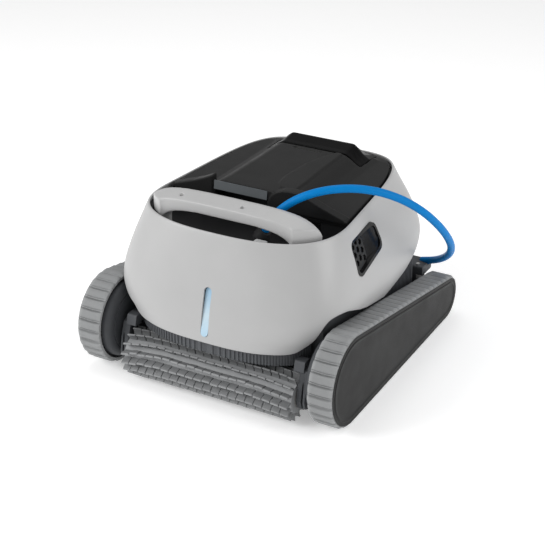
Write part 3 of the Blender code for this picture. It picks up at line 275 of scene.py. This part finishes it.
def make_materials():
    return {
        "satin_grey_shell": plastic("shell_paint", (0.422, 0.422, 0.422), 0.40, 0.008, coat=0.06, mottle=0.010),
        "dark_satin_plastic": plastic(
            "lid_plastic", (0.0158, 0.0158, 0.0158), 0.44, 0.02, wear=0.4, specular=0.12
        ),
        "black_plastic": plastic("black_plastic", (0.021, 0.021, 0.022), 0.42, 0.012, specular=0.20),
        "hood_plastic": plastic("hood_plastic", (0.0022, 0.0022, 0.0024), 0.30, 0.010, specular=0.07),
        "gloss_black": plastic("gloss_black", (0.003, 0.003, 0.0035), 0.20, 0.004, coat=0.08, specular=0.25),
        "mid_grey_plastic": plastic("grip_plastic", (0.105, 0.115, 0.122), 0.45, 0.02, specular=0.3),
        "charcoal_plastic": plastic(
            "charcoal_plastic", (0.052, 0.055, 0.060), 0.50, 0.03, wear=0.5, specular=0.25
        ),
        "side_cover_plastic": plastic(
            "side_cover_plastic", (0.0145, 0.0145, 0.0143), 0.46, 0.03, wear=0.5, specular=0.12
        ),
        "wheel_plastic": plastic("wheel_plastic", (0.047, 0.048, 0.052), 0.5, 0.03, specular=0.25),
        "gear_nylon": plastic("gear_nylon", (0.28, 0.28, 0.27), 0.45, 0.02),
        "grey_rubber": plastic(
            "tread_rubber", (0.250, 0.255, 0.258), 0.66, 0.05, 1500, mottle=0.06, wear=0.30, specular=0.25
        ),
        "grey_pvc": plastic("brush_pvc", (0.190, 0.194, 0.198), 0.55, 0.03, mottle=0.07, wear=0.7, specular=0.25),
        "black_rubber": plastic("black_rubber", (0.024, 0.024, 0.025), 0.6, 0.03, specular=0.25),
        "motor_housing": plastic("motor_housing", (0.04, 0.042, 0.05), 0.45, 0.03),
        "stainless_steel": plastic(
            "stainless_steel", (0.62, 0.62, 0.61), 0.28, 0.01, metallic=1.0, stretch=(1, 8, 8)
        ),
        "basket_plastic": plastic("basket_plastic", (0.06, 0.20, 0.42), 0.42, 0.02),
        "filter_mesh": mesh_cloth(),
        "circuit_board": plastic("circuit_board", (0.02, 0.16, 0.07), 0.5, 0.01, mottle=0.2, mottle_scale=260),
        "pale_blue_lens": lens_material(),
        "blue_cable": plastic("cable_sheath", (0.0, 0.186, 0.520), 0.42, 0.012, mottle=0.03, specular=0.1),
        "pale_clip": plastic("clip_plastic", (0.60, 0.60, 0.60), 0.4, 0.02),
    }


def mesh_cloth():
    """A woven net: crossing threads in colour and bump."""
    mat = bpy.data.materials.new("filter_net")
    mat.use_nodes = True
    tree = mat.node_tree
    shader = tree.nodes["Principled BSDF"]
    shader.inputs["Roughness"].default_value = 0.8
    coordinates = tree.nodes.new("ShaderNodeTexCoord")
    threads = []
    for axis in ("X", "Z"):
        wave = node(tree, "ShaderNodeTexWave", Scale=320.0)
        wave.bands_direction = axis
        tree.links.new(coordinates.outputs["Object"], wave.inputs["Vector"])
        threads.append(wave.outputs["Fac"])
    weave = tree.nodes.new("ShaderNodeMath")
    weave.operation = "MAXIMUM"
    tree.links.new(threads[0], weave.inputs[0])
    tree.links.new(threads[1], weave.inputs[1])
    thread_colour = mixed(tree, (0.25, 0.27, 0.28), (0.62, 0.64, 0.66), weave.outputs["Value"])
    tree.links.new(thread_colour, shader.inputs["Base Color"])
    bump = node(tree, "ShaderNodeBump", Strength=0.5, Distance=0.0003)
    tree.links.new(weave.outputs["Value"], bump.inputs["Height"])
    tree.links.new(bump.outputs["Normal"], shader.inputs["Normal"])
    return mat


def lens_material():
    """Pale blue frosted lens, paler in its middle and bluer at its ends."""
    mat = bpy.data.materials.new("light_lens")
    mat.use_nodes = True
    tree = mat.node_tree
    shader = tree.nodes["Principled BSDF"]
    shader.inputs["Roughness"].default_value = 0.16
    shader.inputs["Coat Weight"].default_value = 0.6
    coordinates = tree.nodes.new("ShaderNodeTexCoord")
    split = tree.nodes.new("ShaderNodeSeparateXYZ")
    tree.links.new(coordinates.outputs["Object"], split.inputs["Vector"])
    height = ramp(tree, split.outputs["Z"], 0.105, 0.172)
    colours = tree.nodes.new("ShaderNodeValToRGB")
    stops = colours.color_ramp.elements
    stops[0].position, stops[0].color = 0.0, (0.40, 0.58, 0.72, 1)
    stops[1].position, stops[1].color = 1.0, (0.30, 0.50, 0.68, 1)
    middle = stops.new(0.42)
    middle.color = (0.55, 0.68, 0.76, 1)
    tree.links.new(height, colours.inputs["Fac"])
    tree.links.new(colours.outputs["Color"], shader.inputs["Base Color"])
    return mat


# ---------------------------------------------------------------- mesh helpers


def closed_mesh(name, points, faces):
    """A mesh with its faces turned outwards."""
    mesh = bpy.data.meshes.new(name)
    mesh.from_pydata([tuple(p) for p in points], [], faces)
    bm = bmesh.new()
    bm.from_mesh(mesh)
    bmesh.ops.recalc_face_normals(bm, faces=bm.faces)
    bm.to_mesh(mesh)
    bm.free()
    return mesh


def new_piece(name, points, faces, mat, body, replaces=(), smooth=0.6):
    """A mesh that rides on a body and takes its finish from a slot."""
    mesh = closed_mesh(name, points, faces)
    mesh.shade_smooth()
    mesh.set_sharp_from_angle(angle=smooth)
    mesh.materials.append(mat)
    piece = bpy.data.objects.new(name, mesh)
    bpy.context.scene.collection.objects.link(piece)
    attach(piece, body)
    if replaces:
        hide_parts(*replaces)
    return piece


def on_side(points, side):
    """The points as given for the right side, or mirrored for the left."""
    return [(side * x, y, z) for x, y, z in points]


def evaluated(piece):
    """The piece's mesh with its modifiers worked in, in place of the plain one."""
    bpy.context.view_layer.update()
    graph = bpy.context.evaluated_depsgraph_get()
    mesh = bpy.data.meshes.new_from_object(piece.evaluated_get(graph))
    mats = list(piece.data.materials)
    piece.modifiers.clear()
    piece.data = mesh
    mesh.materials.clear()
    for mat in mats:
        mesh.materials.append(mat)
    return mesh


def carve(piece, solids, sharp=0.6):
    """Cuts closed (points, faces) solids out of a piece for good."""
    tools = []
    for points, faces in solids:
        tool = bpy.data.objects.new("tool", closed_mesh("tool", points, faces))
        bpy.context.scene.collection.objects.link(tool)
        modifier = piece.modifiers.new("cut", "BOOLEAN")
        modifier.operation = "DIFFERENCE"
        modifier.solver = "EXACT"
        modifier.object = tool
        tools.append(tool)
    mesh = evaluated(piece)
    mesh.shade_smooth()
    if sharp:
        mesh.set_sharp_from_angle(angle=sharp)
    for tool in tools:
        bpy.data.objects.remove(tool, do_unlink=True)


def moulded(frame, node, name, mats, slot, body="machine", voxel=0.001, passes=10, mat=None):
    """A finely remeshed and eased copy of a CAD node, with the soft fillets of a moulding."""
    source = frame["nodes"][node]
    mesh = source.data.copy()
    mesh.name = name
    piece = bpy.data.objects.new(name, mesh)
    bpy.context.scene.collection.objects.link(piece)
    remesh = piece.modifiers.new("voxels", "REMESH")
    remesh.mode = "VOXEL"
    remesh.voxel_size = voxel
    ease = piece.modifiers.new("ease", "SMOOTH")
    ease.factor = 0.5
    ease.iterations = passes
    done = evaluated(piece)
    done.materials.clear()
    done.materials.append(mats[mat or slot])
    done.shade_smooth()
    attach(piece, body)
    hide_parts(node)
    return piece


def loft(rings, closed=False):
    """(points, faces) through rings of equal count; the ends are capped unless the rings form a loop."""
    count = len(rings[0])
    points = [p for ring in rings for p in ring]
    faces = []
    spans = len(rings) if closed else len(rings) - 1
    for i in range(spans):
        j = (i + 1) % len(rings)
        for k in range(count):
            n = (k + 1) % count
            faces.append((i * count + k, i * count + n, j * count + n, j * count + k))
    if not closed:
        faces.append(tuple(reversed(range(count))))
        faces.append(tuple(range((len(rings) - 1) * count, len(rings) * count)))
    return points, faces


def rounded(corners, radius, steps=6):
    """An outline with each corner replaced by an arc-like curve of the given reach."""
    out = []
    count = len(corners)
    for i in range(count):
        here = Vector(corners[i])
        back = (Vector(corners[i - 1]) - here).normalized() * radius
        ahead = (Vector(corners[(i + 1) % count]) - here).normalized() * radius
        for step in range(steps + 1):
            t = step / steps
            out.append(tuple(here + back * (1 - t) ** 2 + ahead * t**2))
    return out


# Which CAD nodes keep their own mesh, and how wide a softened edge each kind has
EDGE_SOFTENING = {
    "top_deck": 0.0012,
    "led_lens": 0.0012,
    "lid_grip": 0.0010,
    "outlet_grille": 0.0004,
    "chassis_tub": 0.0003,
    "bottom_cover": 0.0010,
    "brush_bracket_right": 0.0016,
    "brush_bracket_left": 0.0016,
    "cable_bracket": 0.0014,
    "cable_clip": 0.0009,
    "side_port_right": 0.0010,
    "side_port_left": 0.0010,
    "side_grille_right": 0.0003,
    "side_grille_left": 0.0003,
    "filter_basket": 0.0006,
    "handle_screw_left": 0.0005,
    "handle_screw_right": 0.0005,
    "bracket_screw_inner": 0.0005,
    "bracket_screw_outer": 0.0005,
}


def finish_cad_nodes(frame, mats):
    """Gives every CAD node its slot's full material, and softens the edges of the moulded ones."""
    slots = {s["node"]: s["material_slot"] for s in frame["record"]["subparts"]}
    for name, obj in frame["nodes"].items():
        obj.data.materials.clear()
        obj.data.materials.append(mats[slots[name]])
        if name in EDGE_SOFTENING:
            bevel = obj.modifiers.new("soft_edges", "BEVEL")
            bevel.width = EDGE_SOFTENING[name]
            bevel.segments = 3
            bevel.limit_method = "ANGLE"
            bevel.angle_limit = 0.6
            bevel.harden_normals = True


# ---------------------------------------------------------------- shell


def eased(table, at, column):
    """A value between a table's rows, on their first column, with no kink at the rows."""
    last = len(table) - 1
    for i in range(last):
        x0, x1 = table[i][0], table[i + 1][0]
        if at <= x1 or i == last - 1:
            t = min(1.0, max(0.0, (at - x0) / (x1 - x0)))
            y0, y1 = table[i][column], table[i + 1][column]
            before, after = table[max(0, i - 1)], table[min(last, i + 2)]
            m0 = (y1 - before[column]) / (x1 - before[0]) * (x1 - x0)
            m1 = (after[column] - y0) / (after[0] - x0) * (x1 - x0)
            return (
                (2 * t**3 - 3 * t**2 + 1) * y0
                + (t**3 - 2 * t**2 + t) * m0
                + (3 * t**2 - 2 * t**3) * y1
                + (t**3 - t**2) * m1
            )


def shell_point(angle, z, inset=0.0):
    """A point of the shell's outline at a height; angle 0 is +X and a quarter turn is the rear."""
    half, narrowing, front, rear, exponent = (eased(SHELL_LEVELS, z, c) for c in range(1, 6))
    c, s = cos(angle), sin(angle)
    if s >= 0:
        exponent = REAR_EXPONENT
    reach = (rear if s >= 0 else front) - inset
    along = reach * abs(s) ** (2 / exponent) * (1 if s >= 0 else -1)
    across = (half - inset) * abs(c) ** (2 / exponent) * (1 if c >= 0 else -1)
    return across * (1 - narrowing * along / 0.1), SHELL_MIDDLE_Y + along


def hem_height(angle):
    """The height at which the shell's wall meets its lower edge."""
    z = 0.12
    for _ in range(40):
        z = 0.5 * z + 0.5 * eased(HEM, shell_point(angle, z)[1], 1)
    return z


def shell_angles(count):
    """Angles round the shell, closer together at its corners."""
    return [tau * i / count + 0.12 * sin(4 * tau * i / count) for i in range(count)]


def shell_skin(mats):
    """The grey shell with a rolled rim, a rolled lower edge and its light and port openings."""
    lip = SHELL_WALL / 2
    rows = []
    for a in shell_angles(224):
        low = hem_height(a)
        column = []
        for i in range(7):
            turn = pi * i / 6
            column.append((lip + lip * cos(turn), low + lip - lip * sin(turn)))
        heights = 30
        for i in range(1, heights):
            column.append((0.0, low + lip + (RIM_Z - low - 2 * lip) * i / heights))
        for i in range(9):
            turn = pi * i / 8
            column.append((lip - lip * cos(turn), RIM_Z - lip + lip * sin(turn)))
        for i in range(1, 8):
            column.append((SHELL_WALL, RIM_Z - lip - (RIM_Z - low - 2 * lip) * i / 8))
        rows.append([(*shell_point(a, z, inset), z) for inset, z in column])
    points, faces = loft(rows, closed=True)
    skin = new_piece(
        "shell_skin", points, faces, mats["satin_grey_shell"], "machine", ("body_shell",), 0.7
    )
    cuts = [led_solid(0.0059, 0.0347, -0.010, 0.010)]
    for _, side in SIDES:
        opening = rounded(port_outline(0.0004), 0.012)
        points, faces = loft([[(x, y, z) for y, z in opening] for x in (0.120, 0.190)])
        cuts.append((on_side(points, side), faces))
    carve(skin, cuts, 0.7)
    return skin


LED_CENTRE = Vector((0.0012, -0.1915, 0.138))
LED_TILT = atan2(0.018, 0.062)


def led_solid(half_width, half_height, back, front):
    """A pill-shaped bar across the leaning front wall; back and front are along its normal."""
    straight = half_height - half_width
    ring = []
    for i in range(17):
        a = pi * i / 16
        ring.append((half_width * cos(a), straight + half_width * sin(a)))
    ring += [(-x, -v) for x, v in ring]
    up = Vector((0, sin(LED_TILT), cos(LED_TILT)))
    out = Vector((0, -cos(LED_TILT), sin(LED_TILT)))
    places = [LED_CENTRE + Vector((x, 0, 0)) + up * v for x, v in ring]
    return loft([[tuple(place + out * d) for place in places] for d in (back, front)])


# lower front, lower rear, upper rear and upper front corner of a side port, as (y, z)
PORT_CORNERS = ((-0.0740, 0.1740), (0.0105, 0.1885), (0.0065, 0.2265), (-0.0745, 0.2250))
PORT_FRAME = 0.0052


def port_outline(inset):
    """A side port's corners, moved in towards its middle."""
    middle = Vector((-0.0310, 0.2045))
    out = []
    for corner in PORT_CORNERS:
        away = Vector(corner) - middle
        step = Vector((inset if away.x > 0 else -inset, inset if away.y > 0 else -inset))
        out.append(tuple(Vector(corner) - step))
    return out


def edge_z(front, rear, y):
    """The height at y of a straight edge between two (y, z) corners."""
    return front[1] + (y - front[0]) * (rear[1] - front[1]) / (rear[0] - front[0])


def wall_x(z):
    """How far out the leaning wall is at the ports' height."""
    return 0.1690 - (z - 0.174) * 0.385


def port_scoops(mats):
    """The curved scoop in the rear half of each side port, deep in front and nearly flush behind."""
    lower_front, lower_rear, upper_rear, upper_front = PORT_CORNERS
    across, down = 22, 14
    thickness = 0.0009
    for name, side in SIDES:
        front, back = [], []
        for i in range(across + 1):
            u = i / across
            y = -0.0335 + 0.0375 * u
            depth = -0.0050 + 0.0048 * sin(u * pi / 2) ** 1.5
            low = edge_z(lower_front, lower_rear, y) + PORT_FRAME
            high = edge_z(upper_front, upper_rear, y) - PORT_FRAME
            pinch = 0.010 * max(0.0, (u - 0.72) / 0.28) ** 2.2
            low, high = low + pinch, high - pinch
            for j in range(down + 1):
                v = j / down
                z = low + (high - low) * v
                dish = -0.0007 * sin(pi * v)
                front.append((wall_x(z) + depth + dish, y, z))
                back.append((wall_x(z) + depth + dish - thickness, y, z))
        points = on_side(front + back, side)
        faces = []
        wide = down + 1
        shift = len(front)
        for i in range(across):
            for j in range(down):
                a = i * wide + j
                faces.append((a, a + wide, a + wide + 1, a + 1))
                faces.append((shift + a, shift + a + 1, shift + a + wide + 1, shift + a + wide))
        border = [i * wide for i in range(across + 1)]
        border += [across * wide + j for j in range(1, down + 1)]
        border += [i * wide + down for i in range(across - 1, -1, -1)]
        border += [j for j in range(down - 1, 0, -1)]
        for a, b in zip(border, border[1:] + border[:1]):
            faces.append((a, b, shift + b, shift + a))
        new_piece(f"port_scoop_{name}", points, faces, mats["gloss_black"], "machine")


# ---------------------------------------------------------------- tracks


def track_loop(front_r, rear_r, arc_steps=40, run_steps=40):
    """The outline round both axles in (y, z), anticlockwise from the upper front tangent point."""
    span = hypot(REAR_AXLE[0] - FRONT_AXLE[0], REAR_AXLE[1] - FRONT_AXLE[1])
    slope = atan2(REAR_AXLE[1] - FRONT_AXLE[1], REAR_AXLE[0] - FRONT_AXLE[0])
    open_angle = asin((front_r - rear_r) / span)
    upper = pi / 2 + slope - open_angle
    lower = -pi / 2 + slope + open_angle

    def arc(axle, radius, start, sweep):
        turns = (start + sweep * i / arc_steps for i in range(arc_steps + 1))
        return [(axle[0] + radius * cos(a), axle[1] + radius * sin(a)) for a in turns]

    def run(start, finish):
        steps = (i / run_steps for i in range(1, run_steps))
        return [(start[0] + (finish[0] - start[0]) * t, start[1] + (finish[1] - start[1]) * t) for t in steps]

    front = arc(FRONT_AXLE, front_r, upper, lower + tau - upper)
    rear = arc(REAR_AXLE, rear_r, lower, upper - lower)
    return front + run(front[-1], rear[0]) + rear + run(rear[-1], front[0])


def walk(points, count):
    """Equally spaced (position, outward normal) pairs along a closed outline."""
    closed = points + [points[0]]
    lengths = [hypot(b[0] - a[0], b[1] - a[1]) for a, b in zip(closed, closed[1:])]
    total = sum(lengths)
    out = []
    span, passed = 0, 0.0
    for i in range(count):
        target = total * i / count
        while passed + lengths[span] < target and span < len(lengths) - 1:
            passed += lengths[span]
            span += 1
        (a, b), length = (closed[span], closed[span + 1]), lengths[span]
        t = (target - passed) / length
        direction = ((b[0] - a[0]) / length, (b[1] - a[1]) / length)
        here = (a[0] + (b[0] - a[0]) * t, a[1] + (b[1] - a[1]) * t)
        out.append((here, (direction[1], -direction[0])))
    return out


# one pad of the tread: how far along it, and how far down into the groove
PAD_SHAPE = (
    (0.00, 1.00), (0.03, 0.96), (0.06, 0.66), (0.10, 0.26), (0.15, 0.08), (0.24, 0.00), (0.36, 0.00), (0.48, 0.05),
    (0.60, 0.16), (0.70, 0.28), (0.78, 0.38), (0.81, 0.66), (0.84, 0.68), (0.87, 0.44), (0.91, 0.46), (0.95, 0.62),
    (0.98, 0.94),
)

PAD_STEPS = 40
LUGS = 150
LUG_STEPS = 6
LUG_X = (0.1632, 0.1680)


def belt_skins(mats):
    """The rubber tracks: one broad and one narrow rounded rib to each pad, and rolled side edges."""
    groove = 0.0046
    sway_share = 0.055
    fine = walk(track_loop(FRONT_AXLE[1], REAR_AXLE[1]), TREAD_PADS * PAD_STEPS)
    width = BELT_OUT - BELT_IN
    across = 13
    for name, side in SIDES:
        rings = []
        for i in range(TREAD_PADS):
            for shape_at, depth in PAD_SHAPE:
                ring = []
                index = (i + shape_at) * PAD_STEPS
                for half in (0, 1):
                    for k in range(across):
                        u = k / (across - 1)
                        x = BELT_IN + width * (u if half == 0 else 1 - u)
                        if half == 0:
                            (y, z), normal = fine[int(index) % len(fine)]
                            ring.append((x, y - normal[0] * BELT_THICK, z - normal[1] * BELT_THICK))
                            continue
                        sway = sway_share * sin(pi * (x - BELT_IN) / width) * PAD_STEPS
                        (y, z), normal = fine[int(round(index + sway)) % len(fine)]
                        edge = min(x - BELT_IN, BELT_OUT - x)
                        roll = 0.0022 * max(0.0, 1 - edge / 0.0035) ** 2
                        shrink = 0.35 + 0.65 * min(1.0, edge / 0.004)
                        down = groove * depth * shrink + roll
                        ring.append((x, y - normal[0] * down, z - normal[1] * down))
                rings.append(ring)
        points, faces = loft(rings, closed=True)
        new_piece(
            f"track_skin_{name}",
            on_side(points, side),
            faces,
            mats["grey_rubber"],
            "machine",
            (f"track_belt_{name}",),
            0.9,
        )
        lugs(name, side, mats)


def lugs(name, side, mats):
    """The small driving teeth along the inner edge of a track."""
    points, faces = [], []
    inner = walk(track_loop(FRONT_AXLE[1] - BELT_THICK, REAR_AXLE[1] - BELT_THICK), LUGS * LUG_STEPS)
    for i in range(LUGS):
        corners = []
        for step, depth in ((0.6, -0.0004), (1.2, 0.0024), (3.0, 0.0024), (3.6, -0.0004)):
            (y, z), normal = inner[int(round(i * LUG_STEPS + step)) % len(inner)]
            corners.append((y - normal[0] * depth, z - normal[1] * depth))
        for x in LUG_X:
            points += [(x, y, z) for y, z in corners]
        base = i * 8
        faces += [(base + k, base + (k + 1) % 4, base + 4 + (k + 1) % 4, base + 4 + k) for k in range(4)]
        faces += [(base + 3, base + 2, base + 1, base), (base + 4, base + 5, base + 6, base + 7)]
    points = on_side(points, side)
    new_piece(f"track_lugs_{name}", points, faces, mats["black_rubber"], "machine", smooth=0.3)


def loop_stack(profile, front_r, rear_r, steps=400):
    """Rings along a track outline, moved in by each profile row's first number and out to its x."""
    rings = []
    for inset, x in profile:
        outline = walk(track_loop(front_r - inset, rear_r - inset), steps)
        rings.append([(x, y, z) for (y, z), _ in outline])
    return rings


def cover_skins(mats):
    """Outer covers: a thin lip over the track's side, a shallow channel, a rounded bead and a dark panel."""
    profile = (
        (0.0082, 0.1896), (0.0082, 0.1988), (0.0044, 0.1989), (0.0039, 0.1991), (0.0039, 0.1993), (0.0044, 0.1995),
        (0.0060, 0.1993), (0.0086, 0.1990), (0.0094, 0.1991), (0.0102, 0.1998), (0.0112, 0.2000), (0.0122, 0.1999),
        (0.0134, 0.1994), (0.0146, 0.1992), (0.0200, 0.1993), (0.0290, 0.1995), (0.0330, 0.1995),
    )
    for name, side in SIDES:
        rings = loop_stack(profile, FRONT_AXLE[1], REAR_AXLE[1])
        points, faces = loft(rings)
        new_piece(
            f"cover_skin_{name}",
            on_side(points, side),
            faces,
            mats["side_cover_plastic"],
            "machine",
            (f"side_cover_{name}",),
            0.5,
        )


MOTOR_AXIS = (-0.1065, 0.0670)
FRAME_BORES = ((FRONT_AXLE, 0.0044), (REAR_AXLE, 0.0044), (MOTOR_AXIS, 0.0039), (BRUSH_AXIS, 0.0038))


def frame_skins(mats):
    """Inner track frames, rounded over towards the brush, with a shallow step round the edge."""
    front_r = FRONT_AXLE[1] - BELT_THICK - 0.0040
    rear_r = REAR_AXLE[1] - BELT_THICK - 0.0030
    profile = (
        (0.0000, 0.1664), (0.0000, 0.1610), (0.0004, 0.1590), (0.0012, 0.1572), (0.0025, 0.1555), (0.0042, 0.1540),
        (0.0064, 0.1527), (0.0092, 0.1517), (0.0110, 0.1513), (0.0114, 0.1522), (0.0130, 0.1522), (0.0134, 0.1511),
        (0.0170, 0.1505), (0.0230, 0.1501), (0.0245, 0.1501),
    )
    for name, side in SIDES:
        points, faces = loft(loop_stack(profile, front_r, rear_r, 300))
        piece = new_piece(
            f"frame_skin_{name}",
            on_side(points, side),
            faces,
            mats["charcoal_plastic"],
            "machine",
            (f"track_frame_{name}",),
            0.5,
        )
        bores = []
        for (y0, z0), radius in FRAME_BORES:
            turns = [tau * i / 24 for i in range(24)]
            ring = [(y0 + radius * cos(a), z0 + radius * sin(a)) for a in turns]
            tool, tool_faces = loft([[(x, y, z) for y, z in ring] for x in (0.14, 0.18)])
            bores.append((on_side(tool, side), tool_faces))
        carve(piece, bores, 0.5)


# ---------------------------------------------------------------- brush


def brush_lamellae(mats):
    """The scrubbing sleeve: rows of separate rubber flaps that curl a little, each with a thickened tip."""
    rng = random.Random(11)
    flaps = 20
    flap_gap = 0.0014
    pitch = 2 * BRUSH_HALF / flaps
    points, faces = [], []
    core = BRUSH_CORE_R + 0.0004
    foot = 0.0235
    # radius, angle lag and half thickness along a flap
    section = (
        (foot - 0.0012, 0.00, 0.0019),
        (0.0252, 0.010, 0.0014),
        (0.0285, 0.035, 0.0011),
        (0.0318, 0.075, 0.0010),
        (0.0336, 0.105, 0.0013),
        (BRUSH_R - 0.0004, 0.120, 0.0013),
    )
    for row in range(BRUSH_ROWS):
        for f in range(flaps):
            middle = -BRUSH_HALF + pitch * (f + 0.5)
            half = pitch / 2 - flap_gap / 2
            bend = rng.uniform(-0.028, 0.028)
            trim = rng.uniform(-0.0007, 0.0)
            base = len(points)
            for edge in (-1, 1):
                x = middle + edge * half
                towards_end = max(0.0, (abs(x) / BRUSH_HALF - 0.50) / 0.50)
                twist = (0.24 if x < 0 else 0.145) * towards_end**1.6
                for radius, lag, thick in section:
                    r = radius + (trim if radius > 0.03 else 0.0)
                    a = tau * row / BRUSH_ROWS + twist + lag * 0.8 + bend * (radius / BRUSH_R)
                    for sign in (-1, 1):
                        angle = a + sign * thick / r
                        points.append((x, BRUSH_AXIS[0] + r * cos(angle), BRUSH_AXIS[1] + r * sin(angle)))
            rows = len(section)
            wide = rows * 2
            for k in range(rows - 1):
                a0 = base + 2 * k
                faces.append((a0, a0 + 2, a0 + wide + 2, a0 + wide))
                faces.append((a0 + 1, a0 + wide + 1, a0 + wide + 3, a0 + 3))
                faces.append((a0, a0 + 1, a0 + 3, a0 + 2))
                faces.append((a0 + wide, a0 + wide + 2, a0 + wide + 3, a0 + wide + 1))
            tip = base + 2 * (rows - 1)
            faces.append((tip, tip + 1, tip + wide + 1, tip + wide))
            faces.append((base, base + wide, base + wide + 1, base + 1))
    flap_piece = new_piece("brush_flaps", points, faces, mats["grey_pvc"], "brush", (), 0.7)
    bevel = flap_piece.modifiers.new("soft_edges", "BEVEL")
    bevel.width = 0.0003
    bevel.segments = 2
    bevel.limit_method = "ANGLE"
    bevel.angle_limit = 0.9
    rings = []
    tube = foot - 0.0004
    profile = ((-BRUSH_HALF, core), (BRUSH_HALF, core), (BRUSH_HALF, tube), (-BRUSH_HALF, tube))
    for i in range(60):
        a = tau * i / 60
        rings.append([(x, BRUSH_AXIS[0] + r * cos(a), BRUSH_AXIS[1] + r * sin(a)) for x, r in profile])
    points, faces = loft(rings, closed=True)
    new_piece("brush_tube", points, faces, mats["grey_pvc"], "brush", ("brush_sleeve",), 0.6)


# ---------------------------------------------------------------- cable


def smooth_route(points, per_span=6):
    """Points on a Catmull-Rom curve through the given points."""
    ends = [Vector(points[0]) * 2 - Vector(points[1])]
    ends += [Vector(p) for p in points]
    ends += [Vector(points[-1]) * 2 - Vector(points[-2])]
    out = []
    for a, b, c, d in zip(ends, ends[1:], ends[2:], ends[3:]):
        for s in range(per_span):
            t = s / per_span
            out.append(
                0.5 * ((2 * b) + (c - a) * t + (2 * a - 5 * b + 4 * c - d) * t**2 + (3 * b - a - 3 * c + d) * t**3)
            )
    return out + [ends[-2]]


def add_cable(mats):
    """The blue cable, stiff enough to keep its arch between the gland and the rear clamp."""
    route = smooth_route(CABLE_ROUTE)
    data = bpy.data.curves.new("float_cable", "CURVE")
    data.dimensions = "3D"
    data.bevel_depth = CABLE_DIAMETER / 2
    data.bevel_resolution = 8
    data.use_fill_caps = True
    spline = data.splines.new("POLY")
    spline.points.add(len(route) - 1)
    for point, position in zip(spline.points, route):
        point.co = (*position, 1.0)
    spline.use_smooth = True
    data.materials.append(mats["blue_cable"])
    cable = bpy.data.objects.new("float_cable", data)
    bpy.context.scene.collection.objects.link(cable)
    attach(cable, "machine")
    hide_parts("cable")


with open("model.json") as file:
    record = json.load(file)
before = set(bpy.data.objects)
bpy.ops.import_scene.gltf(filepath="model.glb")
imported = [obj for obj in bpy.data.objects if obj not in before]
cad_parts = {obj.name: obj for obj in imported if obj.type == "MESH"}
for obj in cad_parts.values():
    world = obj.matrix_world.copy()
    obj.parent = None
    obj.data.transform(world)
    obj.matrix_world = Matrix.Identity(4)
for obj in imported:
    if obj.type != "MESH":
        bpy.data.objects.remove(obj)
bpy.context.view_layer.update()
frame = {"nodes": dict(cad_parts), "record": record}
add_camera()
add_studio()
mats = make_materials()
finish_cad_nodes(frame, mats)
shell_skin(mats)
port_scoops(mats)
moulded(frame, "handle", "handle_bow", mats, "satin_grey_shell", voxel=0.0010, passes=14)
lid = moulded(frame, "top_lid", "lid_skin", mats, "dark_satin_plastic", body="lid", voxel=0.0011, passes=10)
slot = rounded(LID_SLOT, 0.0016)
carve(lid, [loft([[(x, y, z) for x, y in slot] for z in LID_SLOT_Z])], None)
hood_look = {"slot": "black_plastic", "mat": "hood_plastic"}
moulded(frame, "outlet_hood", "hood_skin", mats, body="lid", voxel=0.0008, passes=8, **hood_look)
moulded(frame, "cable_gland", "cable_boot", mats, "black_rubber", voxel=0.0006, passes=4)
belt_skins(mats)
cover_skins(mats)
frame_skins(mats)
brush_lamellae(mats)
add_cable(mats)
